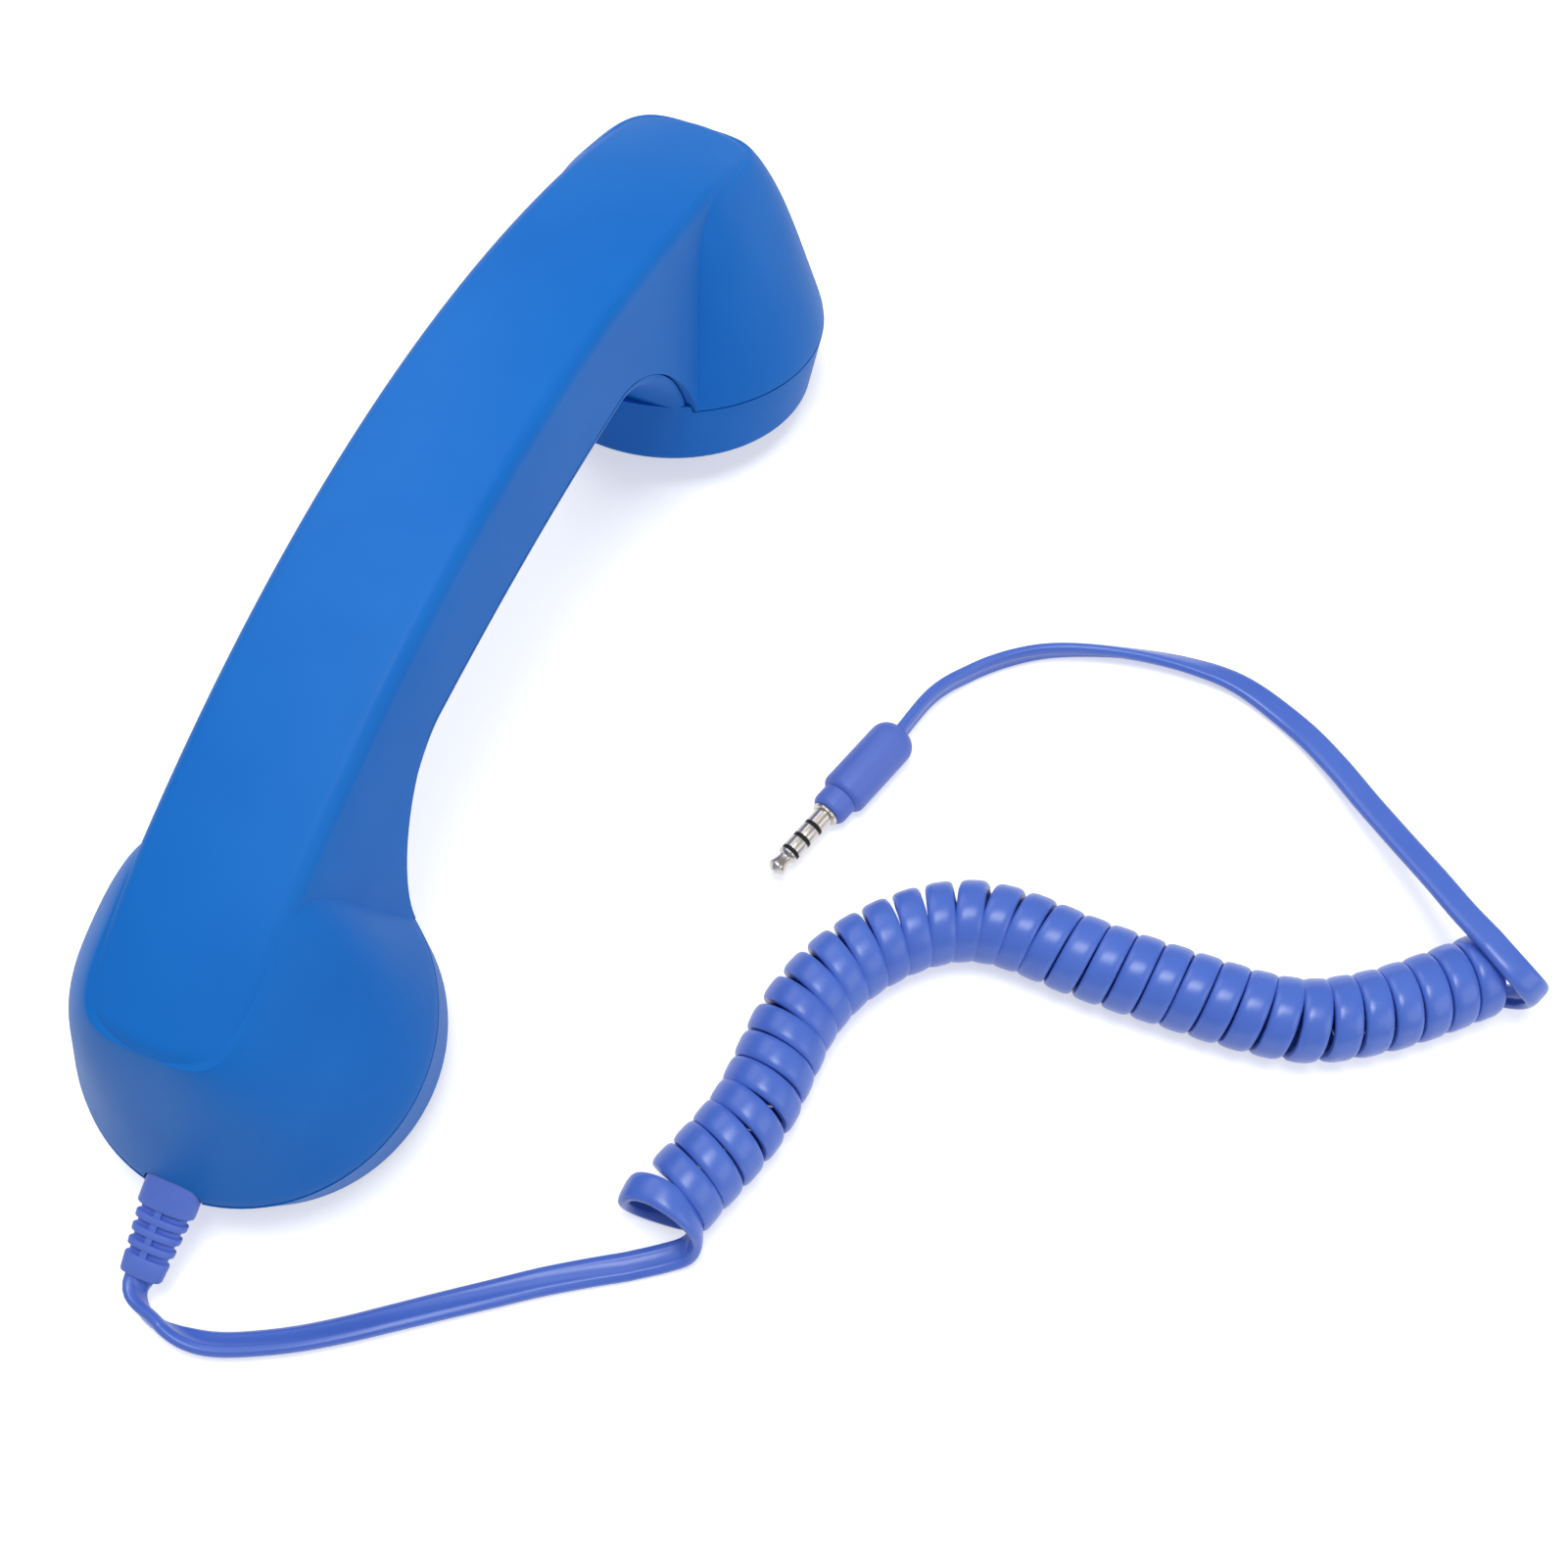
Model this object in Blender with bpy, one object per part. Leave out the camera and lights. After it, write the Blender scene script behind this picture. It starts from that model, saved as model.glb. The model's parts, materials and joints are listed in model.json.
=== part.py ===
"""Telephone handset with a curly cord and a four-pole plug.

The handset lies on its two cups with the grip arching above them. The long axis is Y, the
ear cup is at +Y, the mouth cup at -Y, and the origin is on the resting surface below the
middle of the grip. All sizes are in metres.
"""

import math

import bmesh
import bpy
from mathutils import Matrix, Vector

# General clearances and wall thickness
FIT_GAP = 0.0003
SCREW_GAP = 0.0003
WALL = 0.0020
CUT_REACH = 0.0030
STEP_RUN = 0.0001
FITTING_ROOT = WALL * 0.4
BLOCK_MARGIN = 1.6
PART_SEGMENTS = 24

# Length of the grip bar, which the cups hang under
BAR_LENGTH = 0.1902
CUP_OVERHANG = 0.0422

# Cups: two short cylinders that lean towards each other
CUP_SPACING = BAR_LENGTH - CUP_OVERHANG
CUP_TILT = math.radians(12.0)
SEAM_RADIUS = 0.0290
RING_FLARE = 0.0015
FACE_RADIUS = SEAM_RADIUS - RING_FLARE
RING_HEIGHT = 0.0130
RIM_FILLET = 0.0014
RIM_WIDTH = 0.0035
DISH_DEPTH = 0.0015
PLATE_THICKNESS = 0.0020
HOLLOW_CHAMFER = 0.0010
RING_SEGMENTS = 40
HOLLOW_SEGMENTS = 24

# Grip bar, arched lengthwise, with drafted sides
BAR_HALF_WIDTH = 0.0126
BAR_EDGE_RADIUS = 0.0024
BAR_CORNER_RADIUS = 0.0032
BAR_END_BOW = 0.0028
BAR_CROWN = 0.0005
BAR_DEPTH = 0.0178
BAR_DRAFT = 0.10
LEAST_INNER_RADIUS = 0.0007
BAR_BOW_SHARE = 0.30
BAR_STATIONS = 16
BAR_HOLLOW_STATIONS = 8
ARCH_HEIGHT = 0.0710
ARCH_RISE_RATE = 2.6
BAR_FOOT_HEIGHT = 0.0155

# Domes that close the cups above the seam and rise into the bar
DOME_TOP_DROP = 0.0012
DOME_TOP_SHIFT = 0.0028
DOME_TOP_TILT = math.radians(22.0)
DOME_TOP_HALF_WIDTH = 0.0124
DOME_TOP_OUTER_REACH = 0.0164
DOME_TOP_INNER_REACH = 0.0145
DOME_TOP_SQUARENESS = 3.9
DOME_SQUARENESS_POWER = 2.6
DOME_SIDE_POWERS = (1.25, 0.82)
DOME_OUTER_POWERS = (1.0, 0.97)
DOME_INNER_POWERS = (1.0, 0.90)
DOME_LEVELS = 9
DOME_SEGMENTS = 36
DOME_HOLLOW_LEVELS = 5
DOME_HOLLOW_SEGMENTS = 20

# Parting line between the two shells, seen from the side
PARTING_HEIGHT = ARCH_HEIGHT - BAR_DEPTH
PARTING_ARCH_RATE = 1.745
SEAM_REACH = CUP_SPACING / 2.0 + RING_HEIGHT * math.sin(CUP_TILT)
NECK_INSET = 0.0048
NECK_LENGTH = 0.0211
NECK_REACH = SEAM_REACH - SEAM_RADIUS * math.cos(CUP_TILT) + NECK_INSET
NECK_START = NECK_REACH - NECK_LENGTH
NECK_POWER = 1.75
NECK_POINTS = 6
ARCH_POINTS = 4
PARTING_GAP = 0.0003

# Belly: the rounded underside of the grip
BELLY_DEPTH = 0.0050
BELLY_SQUARENESS = 2.3
BELLY_NECK_WIDTH_SHARE = 0.88
BELLY_NECK_DEPTH_SHARE = 0.60
BELLY_ROOT_WIDTH_SHARES = (0.58, 0.76)
BELLY_ROOT_DEPTH_SHARES = (0.48, 0.57)
BELLY_ROOT_STEPS = ((0.0002, 0.0030), (0.0010, 0.0070))
BELLY_SEGMENTS = 10
BELLY_HOLLOW_SEGMENTS = 6

# Sound holes
EAR_HOLE_RADIUS = 0.0011
EAR_HOLE_PITCH = 0.0050
MOUTH_HOLE_RADIUS = 0.0009
MOUTH_HOLE_PITCH = 0.0036
HOLE_RINGS = 2
HOLE_SEGMENTS = 6

# Shell screws in bosses under the grip
SCREW_SETBACK = 0.0020
SCREW_PLACE = NECK_START - SCREW_SETBACK
SCREW_HEAD_RADIUS = 0.0026
SCREW_HEAD_HEIGHT = 0.0019
SCREW_SHANK_RADIUS = 0.00145
SCREW_LENGTH = 0.0105
SCREW_CHAMFER = 0.0004
SCREW_POINT = 0.0010
SCREW_SOCKET_RADIUS = 0.0013
SCREW_SOCKET_DEPTH = 0.0012
BOSS_WALL = 0.0017
BOSS_RISE = 0.0041
BOSS_SEAT = 0.0025
BOSS_SEGMENTS = 20
BOSS_PHASE = 0.1
SCREW_SEGMENTS = 14
SCREW_TIP_SHARE = 0.45

# Answer button with its switch and board
BUTTON_RADIUS = 0.0055
BUTTON_GAP = 0.00035
BUTTON_FLANGE = 0.0015
BUTTON_FLANGE_THICKNESS = 0.0009
BUTTON_PROUD = 0.0009
BUTTON_CROWN = 0.0002
BUTTON_SEGMENTS = 32
BUTTON_SEAT_DEPTH = 0.0023
BUTTON_TRAVEL = 0.0005
SWITCH_SIZE = 0.0062
SWITCH_HEIGHT = 0.0031
SWITCH_BORE_DEPTH = 0.0016
PLUNGER_RADIUS = 0.0016
PLUNGER_SHOWN = 0.0013
BOARD_LENGTH = SCREW_PLACE * 0.73
BOARD_WIDTH = 0.0140
BOARD_THICKNESS = 0.0010
BOARD_RIB_PLACE = BOARD_LENGTH * 0.42
RIB_THICKNESS = 0.0016
RIB_SETBACK = 0.0010

# Steel weight that gives the grip its heft
WEIGHT_LENGTH = SCREW_PLACE * 1.40
WEIGHT_WIDTH = 0.0160
WEIGHT_CLEARANCE = 0.0020
WEIGHT_BEVEL = 0.0006
WEIGHT_RIB_PLACE = WEIGHT_LENGTH * 0.40

# Ear speaker, placed along the cup's axis from the face plane
SPEAKER_RADIUS = (FACE_RADIUS - WALL) * 0.745
GASKET_WIDTH = SPEAKER_RADIUS * 0.168
GASKET_THICKNESS = 0.0015
BASKET_FLANGE = 0.0014
BASKET_HEIGHT = 0.0052
BASKET_WALL = 0.0010
BASKET_LEAN = 0.0010
BASKET_LEDGE = 0.0014
BASKET_LEDGE_RISE = 0.0005
CONE_THICKNESS = 0.0005
CONE_SURROUND = 0.0002
CONE_ROLL_SHARE = 0.84
CONE_DOME_SHARE = 0.5
YOKE_RADIUS = SPEAKER_RADIUS * 0.553
COIL_RADIUS = YOKE_RADIUS * 0.686
COIL_WALL = 0.0007
COIL_HEIGHT = 0.0032
YOKE_WALL = 0.0012
YOKE_DEPTH = 0.0052
POLE_RADIUS = YOKE_RADIUS * 0.571
POLE_THICKNESS = 0.0011
POLE_SETBACK = 0.0008
MAGNET_THICKNESS = 0.0022
MAGNET_SEGMENTS = 28
CLAMP_CLEARANCE = 0.0019
CLAMP_RING_RADIUS = FACE_RADIUS - WALL - CLAMP_CLEARANCE
CLAMP_RING_THICKNESS = 0.0015
CLAMP_OVERLAP = 0.0016
POST_RADIUS = 0.0020
POST_COUNT = 3
POST_SEGMENTS = 12

# Microphone in a rubber boot, standing in a round socket
MIC_RADIUS = 0.00485
MIC_HEIGHT = 0.0040
BOOT_WALL = 0.0017
BOOT_FLOOR = 0.0012
BOOT_HEIGHT = 0.0060
BOOT_HOLE_RADIUS = 0.0015
SOCKET_WALL = 0.0012
SOCKET_HEIGHT = 0.0045
SOCKET_PHASE = 0.05

# Strain relief where the cord leaves the mouth cup
RELIEF_SLOPE = math.radians(25.0)
RELIEF_LENGTH = 0.0132
RELIEF_HEAD_HALF_WIDTH = 0.00465
RELIEF_HEAD_HALF_DEPTH = 0.00275
RELIEF_HEAD_LENGTH = 0.0030
RELIEF_END_HALF_WIDTH = 0.0034
RELIEF_END_HALF_DEPTH = 0.0020
RELIEF_END_LENGTH = 0.0026
RELIEF_SINK = 0.0006
RELIEF_NECK_HALF_WIDTH = 0.0036
RELIEF_NECK_HALF_DEPTH = 0.0019
RELIEF_FLANGE_INSET = 0.0058
RELIEF_FLANGE_THICKNESS = 0.0014
RELIEF_FLANGE_HALF_WIDTH = 0.0052
RELIEF_FLANGE_HALF_DEPTH = 0.0026
RELIEF_RINGS = 3
RELIEF_GROOVE_DEPTH = 0.0008
RELIEF_GROOVE_LENGTH = 0.0013
RELIEF_WEB_WIDTH = 0.0011
RELIEF_WEB_SINK = 0.00015
RELIEF_WEB_ROOT = 0.0005
RELIEF_CHAMFER = 0.0004
RELIEF_SHOULDER = 0.0003
RELIEF_SEGMENTS = 16
RELIEF_SQUARENESS = 2.6

# Cord: a flat lead, a curly length and the lead to the plug
CORD_TUBE_RADIUS = 0.0013
COIL_TUBE_RADIUS = 0.0068
FLOOR_GAP = 0.0001
LEAD_POINTS = 28
COIL_POINTS = 24
PLUG_LEAD_POINTS = 36
INNER_LEAD_RADIUS = 0.0006
INNER_LEAD_SPREAD = 0.0016
INNER_LEAD_POINTS = 26
MIC_LEAD_POINTS = 14

# Plug
PLUG_REAR = Vector((0.0708, 0.0173, 0.0041))
PLUG_POINTS_TO = Vector((0.0612, -0.0151, 0.0041))
PLUG_RADIUS = 0.0041
PLUG_BODY_LENGTH = 0.0166
PLUG_SHOULDER_RADIUS = 0.0012
COLLAR_RADIUS = 0.0032
COLLAR_LENGTH = 0.0034
COLLAR_NOSE = 0.0012
PIN_RADIUS = 0.00175
PIN_LENGTH = 0.0140
PIN_FLANGE_RADIUS = 0.0024
PIN_FLANGE_LENGTH = 0.0007
PIN_BANDS = (0.0031, 0.0061, 0.0091)
PIN_BAND_LENGTH = 0.0007
TIP_NECK_RADIUS = 0.00115
TIP_LAND = 0.0004
TIP_SLOPE = 0.0010
PLUG_SEGMENTS = 20

# Colours (linear) and finishes of the pieces
BLUE_SHELL = (0.024, 0.165, 0.600)
BLUE_CORD = (0.095, 0.195, 0.620)
BLUE_RUBBER = (0.085, 0.160, 0.540)
NICKEL = (0.62, 0.61, 0.58)
BLACK_PLASTIC = (0.020, 0.020, 0.022)
STEEL = (0.45, 0.46, 0.48)
BOARD_GREEN = (0.03, 0.16, 0.07)
FOAM_GREY = (0.05, 0.05, 0.055)
CONE_CLEAR = (0.55, 0.52, 0.45)
COPPER = (0.70, 0.32, 0.14)

# Bend of the flat lead, measured from the strain relief's end
LEAD_BEND = (
    (0.0010, -0.0029, -0.0017), (0.0032, -0.0042, -0.0033), (0.0062, -0.0048, -0.0045),
    (0.0098, -0.0047, -0.0050), (0.0136, -0.0039, -0.0051),
)

# Route of the flat lead from its bend to the first turn
LEAD_ROUTE = (
    (0.0181, -0.1193, 0.0013), (0.0246, -0.1157, 0.0013), (0.0308, -0.1115, 0.0013),
    (0.0370, -0.1071, 0.0013), (0.0430, -0.1026, 0.0013), (0.0491, -0.0980, 0.0013),
    (0.0552, -0.0934, 0.0013), (0.0612, -0.0892, 0.0013), (0.0660, -0.0856, 0.0013),
    (0.0688, -0.0825, 0.0016), (0.0705, -0.0795, 0.0021), (0.0711, -0.0775, 0.0027),
)

# Route of the axis of the curly length
COIL_ROUTE = (
    (0.0683, -0.0757), (0.0697, -0.0711), (0.0719, -0.0661), (0.0741, -0.0601),
    (0.0753, -0.0545), (0.0754, -0.0469), (0.0757, -0.0390), (0.0778, -0.0312),
    (0.0813, -0.0236), (0.0872, -0.0168), (0.0949, -0.0126), (0.1029, -0.0111),
    (0.1132, -0.0113), (0.1215, -0.0111), (0.1296, -0.0106), (0.1377, -0.0101),
    (0.1456, -0.0091), (0.1523, -0.0071), (0.1599, -0.0024), (0.1665, 0.0031),
    (0.1727, 0.0091),
)

# Route of the lead from the last turn, folded back over it, to the plug
PLUG_LEAD_ROUTE = (
    (0.1744, 0.0085, 0.0030), (0.1768, 0.0101, 0.0027), (0.1797, 0.0115, 0.0028),
    (0.1821, 0.0119, 0.0046), (0.1831, 0.0112, 0.0078), (0.1824, 0.0101, 0.0112),
    (0.1803, 0.0097, 0.0138), (0.1773, 0.0107, 0.0150), (0.1730, 0.0133, 0.0150),
    (0.1682, 0.0171, 0.0135), (0.1626, 0.0225, 0.0110), (0.1558, 0.0291, 0.0075),
    (0.1490, 0.0355, 0.0045), (0.1421, 0.0415, 0.0026), (0.1341, 0.0468, 0.0014),
    (0.1229, 0.0510, 0.0013), (0.1129, 0.0512, 0.0013), (0.1014, 0.0490, 0.0013),
    (0.0902, 0.0448, 0.0013), (0.0828, 0.0398, 0.0016), (0.0768, 0.0334, 0.0024),
    (0.0729, 0.0264, 0.0034),
)


def clear_scene():
    """Remove every object that the scene starts with."""
    for item in list(bpy.data.objects):
        bpy.data.objects.remove(item, do_unlink=True)


def make_material(name, colour, roughness, metallic=0.0):
    """Return a Principled material."""
    material = bpy.data.materials.new(name)
    material.use_nodes = True
    shader = material.node_tree.nodes["Principled BSDF"]
    shader.inputs["Base Color"].default_value = (*colour, 1.0)
    shader.inputs["Roughness"].default_value = roughness
    shader.inputs["Metallic"].default_value = metallic
    return material


def place(name, mesh, material=None, matrix=None, sharp=40.0):
    """Link a mesh as a named object, shaded smooth up to the given angle."""
    item = bpy.data.objects.new(name, mesh)
    bpy.context.scene.collection.objects.link(item)
    if matrix is not None:
        item.matrix_world = matrix
    if material is not None:
        mesh.materials.clear()
        mesh.materials.append(material)
    mesh.shade_smooth()
    mesh.set_sharp_from_angle(angle=math.radians(sharp))
    return item


def finish_mesh(name, bm):
    """Triangulate the flat caps, turn the faces outwards and return the mesh."""
    bm.normal_update()
    caps = [face for face in bm.faces if len(face.verts) > 4]
    bmesh.ops.triangulate(bm, faces=caps)
    bmesh.ops.recalc_face_normals(bm, faces=bm.faces)
    mesh = bpy.data.meshes.new(name)
    bm.to_mesh(mesh)
    bm.free()
    return mesh


def loft(name, rings):
    """Skin a row of closed rings that have equal point counts and cap both ends."""
    bm = bmesh.new()
    rows = [[bm.verts.new(point) for point in ring] for ring in rings]
    for low, high in zip(rows, rows[1:]):
        for index, vertex in enumerate(low):
            after = (index + 1) % len(low)
            bm.faces.new((vertex, low[after], high[after], high[index]))
    bm.faces.new(rows[0])
    bm.faces.new(list(reversed(rows[-1])))
    return finish_mesh(name, bm)


def turned(name, profile, segments, phase=0.0):
    """Turn a closed profile of (radius, height) points about Z.

    Where the profile runs along the axis, both ends are closed with flat discs instead.
    """
    on_axis = [index for index, point in enumerate(profile) if point[0] < 1e-7]
    is_open = bool(on_axis)
    if is_open:
        start = 0 if on_axis[0] == 0 else on_axis[-1] + 1
        turned_round = profile[start:] + profile[:start]
        profile = [point for point in turned_round if point[0] >= 1e-7]
    bm = bmesh.new()
    columns = []
    for step in range(segments):
        angle = 2.0 * math.pi * step / segments + phase
        column = []
        for radius, height in profile:
            column.append(bm.verts.new((radius * math.cos(angle), radius * math.sin(angle), height)))
        columns.append(column)
    last = len(profile) - 1
    for step in range(segments):
        here = columns[step]
        there = columns[(step + 1) % segments]
        for index in range(last if is_open else last + 1):
            after = (index + 1) % len(profile)
            bm.faces.new((here[index], here[after], there[after], there[index]))
    if is_open:
        bm.faces.new([column[0] for column in columns])
        bm.faces.new([column[last] for column in reversed(columns)])
    return finish_mesh(name, bm)


def box_mesh(name, low, high):
    """Return a box between two corners."""
    bm = bmesh.new()
    bmesh.ops.create_cube(bm, size=1.0)
    size = Vector(high) - Vector(low)
    middle = (Vector(high) + Vector(low)) / 2.0
    bmesh.ops.scale(bm, vec=size, verts=bm.verts)
    bmesh.ops.translate(bm, vec=middle, verts=bm.verts)
    return finish_mesh(name, bm)


def cylinder_mesh(name, radius, low, high, segments=PART_SEGMENTS, phase=0.0):
    """Return a plain cylinder about Z."""
    profile = [(0.0, low), (radius, low), (radius, high), (0.0, high)]
    return turned(name, profile, segments, phase)


def gather(name, pieces):
    """Join separate closed shapes, given as (mesh, matrix) pairs, into one mesh."""
    bm = bmesh.new()
    for mesh, matrix in pieces:
        moved = mesh.copy()
        if matrix is not None:
            moved.transform(matrix)
        bm.from_mesh(moved)
        bpy.data.meshes.remove(moved)
    joined = bpy.data.meshes.new(name)
    bm.to_mesh(joined)
    bm.free()
    return joined


def combine(target, cutter, operation):
    """Apply one exact Boolean to the target and remove the second shape."""
    modifier = target.modifiers.new(operation.lower(), "BOOLEAN")
    modifier.operation = operation
    modifier.solver = "EXACT"
    modifier.object = cutter
    bpy.context.view_layer.update()
    graph = bpy.context.evaluated_depsgraph_get()
    result = bpy.data.meshes.new_from_object(target.evaluated_get(graph))
    target.modifiers.clear()
    target.data = result
    bpy.data.objects.remove(cutter, do_unlink=True)


def cut(target, mesh, matrix=None):
    """Cut a mesh from the target."""
    combine(target, place("cutter", mesh, matrix=matrix), "DIFFERENCE")


def add(target, mesh, matrix=None):
    """Join a mesh to the target."""
    combine(target, place("addition", mesh, matrix=matrix), "UNION")


def keep(target, mesh):
    """Keep only what of the target lies inside a mesh."""
    combine(target, place("boundary", mesh), "INTERSECT")


def close_up(item, material, sharp=40.0):
    """Weld slivers left by cutting, then dress and smooth the finished shell."""
    bm = bmesh.new()
    bm.from_mesh(item.data)
    bmesh.ops.remove_doubles(bm, verts=bm.verts, dist=1e-6)
    bmesh.ops.dissolve_degenerate(bm, edges=bm.edges, dist=1e-6)
    bm.to_mesh(item.data)
    bm.free()
    item.data.materials.clear()
    item.data.materials.append(material)
    item.data.shade_smooth()
    item.data.set_sharp_from_angle(angle=math.radians(sharp))


def signed_power(value, power):
    """Raise the size of a number to a power and keep its sign."""
    return math.copysign(abs(value) ** power, value)


def superellipse(half_x, half_low, half_high, squareness, segments):
    """Return (x, v) points of a rounded outline, with its own reach on each side of v."""
    points = []
    for step in range(segments):
        angle = 2.0 * math.pi * step / segments
        across = half_x * signed_power(math.cos(angle), 2.0 / squareness)
        along = signed_power(math.sin(angle), 2.0 / squareness)
        points.append((across, along * (half_high if along > 0.0 else half_low)))
    return points


def arch(y):
    """Return the height of the grip's top line."""
    return ARCH_HEIGHT - ARCH_RISE_RATE * y * y


def cup_lift():
    """Return the height of a face's centre, with the rounded rim just on the surface."""
    flat = FACE_RADIUS - RIM_FILLET
    return flat * math.sin(CUP_TILT) + RIM_FILLET * (1.0 - math.cos(CUP_TILT))


def cup_matrix(side):
    """Return the frame of a cup: origin at its face's centre, Z up its axis."""
    centre = Vector((0.0, side * CUP_SPACING / 2.0, cup_lift()))
    return Matrix.Translation(centre) @ Matrix.Rotation(-side * CUP_TILT, 4, "X")


def seam_centre():
    """Return the distance from the middle and the height of the seam's centre."""
    height = cup_lift() + RING_HEIGHT * math.cos(CUP_TILT)
    return SEAM_REACH, height


def seam_height(y):
    """Return the height of the tilted seam plane at a distance from the middle."""
    reach, height = seam_centre()
    return height - (y - reach) * math.tan(CUP_TILT)


def parting_half():
    """Return the parting line's (y, z) points from the middle out to the notch."""
    points = []
    for step in range(ARCH_POINTS):
        y = NECK_START * step / ARCH_POINTS
        points.append((y, PARTING_HEIGHT - PARTING_ARCH_RATE * y * y))
    low = seam_height(NECK_REACH)
    for step in range(NECK_POINTS + 1):
        turn = 0.5 * math.pi * step / NECK_POINTS
        y = NECK_START + (NECK_REACH - NECK_START) * math.sin(turn) ** (2.0 / NECK_POWER)
        crest = PARTING_HEIGHT - PARTING_ARCH_RATE * y * y
        z = low + (crest - low) * math.cos(turn) ** (2.0 / NECK_POWER)
        points.append((y, z))
    return points


def parting_line(beyond):
    """Return the whole parting line, ended on the seam planes beyond both cups."""
    half = parting_half()
    half.append((beyond, seam_height(beyond)))
    mirrored = [(-y, z) for y, z in reversed(half[1:])]
    return mirrored + half


def offset_line(points, distance):
    """Move a (y, z) line sideways by a distance, with mitred corners; up is positive."""
    moved = []
    for index, point in enumerate(points):
        before = points[max(index - 1, 0)]
        after = points[min(index + 1, len(points) - 1)]
        first = Vector(point) - Vector(before)
        second = Vector(after) - Vector(point)
        if first.length < 1e-9:
            first = second
        if second.length < 1e-9:
            second = first
        first.normalize()
        second.normalize()
        middle = (Vector((-first.y, first.x)) + Vector((-second.y, second.x))).normalized()
        stretch = 1.0 / max(middle.dot(Vector((-first.y, first.x))), 0.4)
        moved.append(tuple(Vector(point) + middle * distance * stretch))
    return moved


def half_space(name, above):
    """Return a block on one side of the parting line, half the parting gap away."""
    beyond = CUP_SPACING
    shift = PARTING_GAP / 2.0 if above else -PARTING_GAP / 2.0
    line = offset_line(parting_line(beyond), shift)
    level = ARCH_HEIGHT * BLOCK_MARGIN if above else -ARCH_HEIGHT
    outline = line + [(beyond, level), (-beyond, level)]
    wide = SEAM_RADIUS * BLOCK_MARGIN
    rings = [[(x, y, z) for y, z in outline] for x in (-wide, wide)]
    return loft(name, rings)


def bar_section(y, inset):
    """Return one ring of the bar across the grip, shrunk by an inset."""
    end = BAR_LENGTH / 2.0 - inset
    edge = max(BAR_EDGE_RADIUS - inset, LEAST_INNER_RADIUS)
    corner = max(BAR_CORNER_RADIUS - inset, LEAST_INNER_RADIUS)
    inward = end - abs(y)
    drop = edge - math.sqrt(max(edge ** 2 - max(edge - inward, 0.0) ** 2, 0.0))
    narrow = corner - math.sqrt(max(corner ** 2 - max(corner - inward, 0.0) ** 2, 0.0))
    top = arch(y) - inset - drop
    half = BAR_HALF_WIDTH - inset - narrow
    foot = BAR_FOOT_HEIGHT - (CUT_REACH if inset > 0.0 else 0.0)
    bowed_length = BAR_LENGTH / 2.0 * BAR_BOW_SHARE
    ends = max(abs(y) - BAR_LENGTH / 2.0 + bowed_length, 0.0) / bowed_length
    side = []
    side.append((half + BAR_DRAFT * (top - foot), foot))
    middle_level = 0.5 * (top - edge + foot)
    side.append((half + BAR_DRAFT * (top - middle_level), middle_level))
    for step in range(5):
        turn = 0.5 * math.pi * step / 4.0
        reach = half - edge + edge * math.cos(turn) + BAR_DRAFT * edge * (1.0 - math.sin(turn))
        side.append((reach, top - edge + edge * math.sin(turn)))
    flat = half - edge
    for share in (0.62, 0.28):
        side.append((flat * share, top + BAR_CROWN * (1.0 - share ** 2)))
    ring = side + [(-x, z) for x, z in reversed(side)]
    bowed = []
    for x, z in ring:
        bow = BAR_END_BOW * min(abs(x) / BAR_HALF_WIDTH, 1.0) ** 2 * min(ends, 1.0) ** 2
        bowed.append((x, math.copysign(abs(y) - bow, y), z))
    return bowed


def bar_mesh(inset):
    """Loft the arched bar along its length, with stations crowded at its rounded ends."""
    end = BAR_LENGTH / 2.0 - inset
    edge = max(BAR_CORNER_RADIUS - inset, LEAST_INNER_RADIUS)
    stops = [end - edge * (1.0 - math.cos(0.5 * math.pi * share)) for share in (0.0, 0.3, 0.55, 0.8)]
    inner = end - edge * 1.3
    count = BAR_HOLLOW_STATIONS if inset > 0.0 else BAR_STATIONS
    spread = [inner * (1.0 - 2.0 * step / count) for step in range(count + 1)]
    stations = stops + spread + [-stop for stop in reversed(stops)]
    return loft("bar", [bar_section(y, inset) for y in stations])


def dome_reach(share, top_reach, powers):
    """Return a dome's reach from its axis at a share of its height."""
    fall = max(1.0 - share ** powers[0], 0.0) ** powers[1]
    return top_reach + (SEAM_RADIUS - top_reach) * fall


def dome_section(share, side, inset):
    """Return one tilted ring of a dome, from the seam (0) to its top (1)."""
    reach, height = seam_centre()
    top = arch(reach + DOME_TOP_SHIFT) - DOME_TOP_DROP - inset
    wide = dome_reach(share, DOME_TOP_HALF_WIDTH, DOME_SIDE_POWERS) - inset
    outer = dome_reach(share, DOME_TOP_OUTER_REACH, DOME_OUTER_POWERS) - inset
    inner = dome_reach(share, DOME_TOP_INNER_REACH, DOME_INNER_POWERS) - inset
    square = 2.0 + (DOME_TOP_SQUARENESS - 2.0) * share ** DOME_SQUARENESS_POWER
    tilt = CUP_TILT + (DOME_TOP_TILT - CUP_TILT) * share
    centre = reach + DOME_TOP_SHIFT * share
    level = height + (top - height) * share
    ring = []
    segments = DOME_HOLLOW_SEGMENTS if inset > 0.0 else DOME_SEGMENTS
    for x, v in superellipse(wide, inner, outer, square, segments):
        ring.append((x, side * (centre + v * math.cos(tilt)), level - v * math.sin(tilt)))
    return ring


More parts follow.
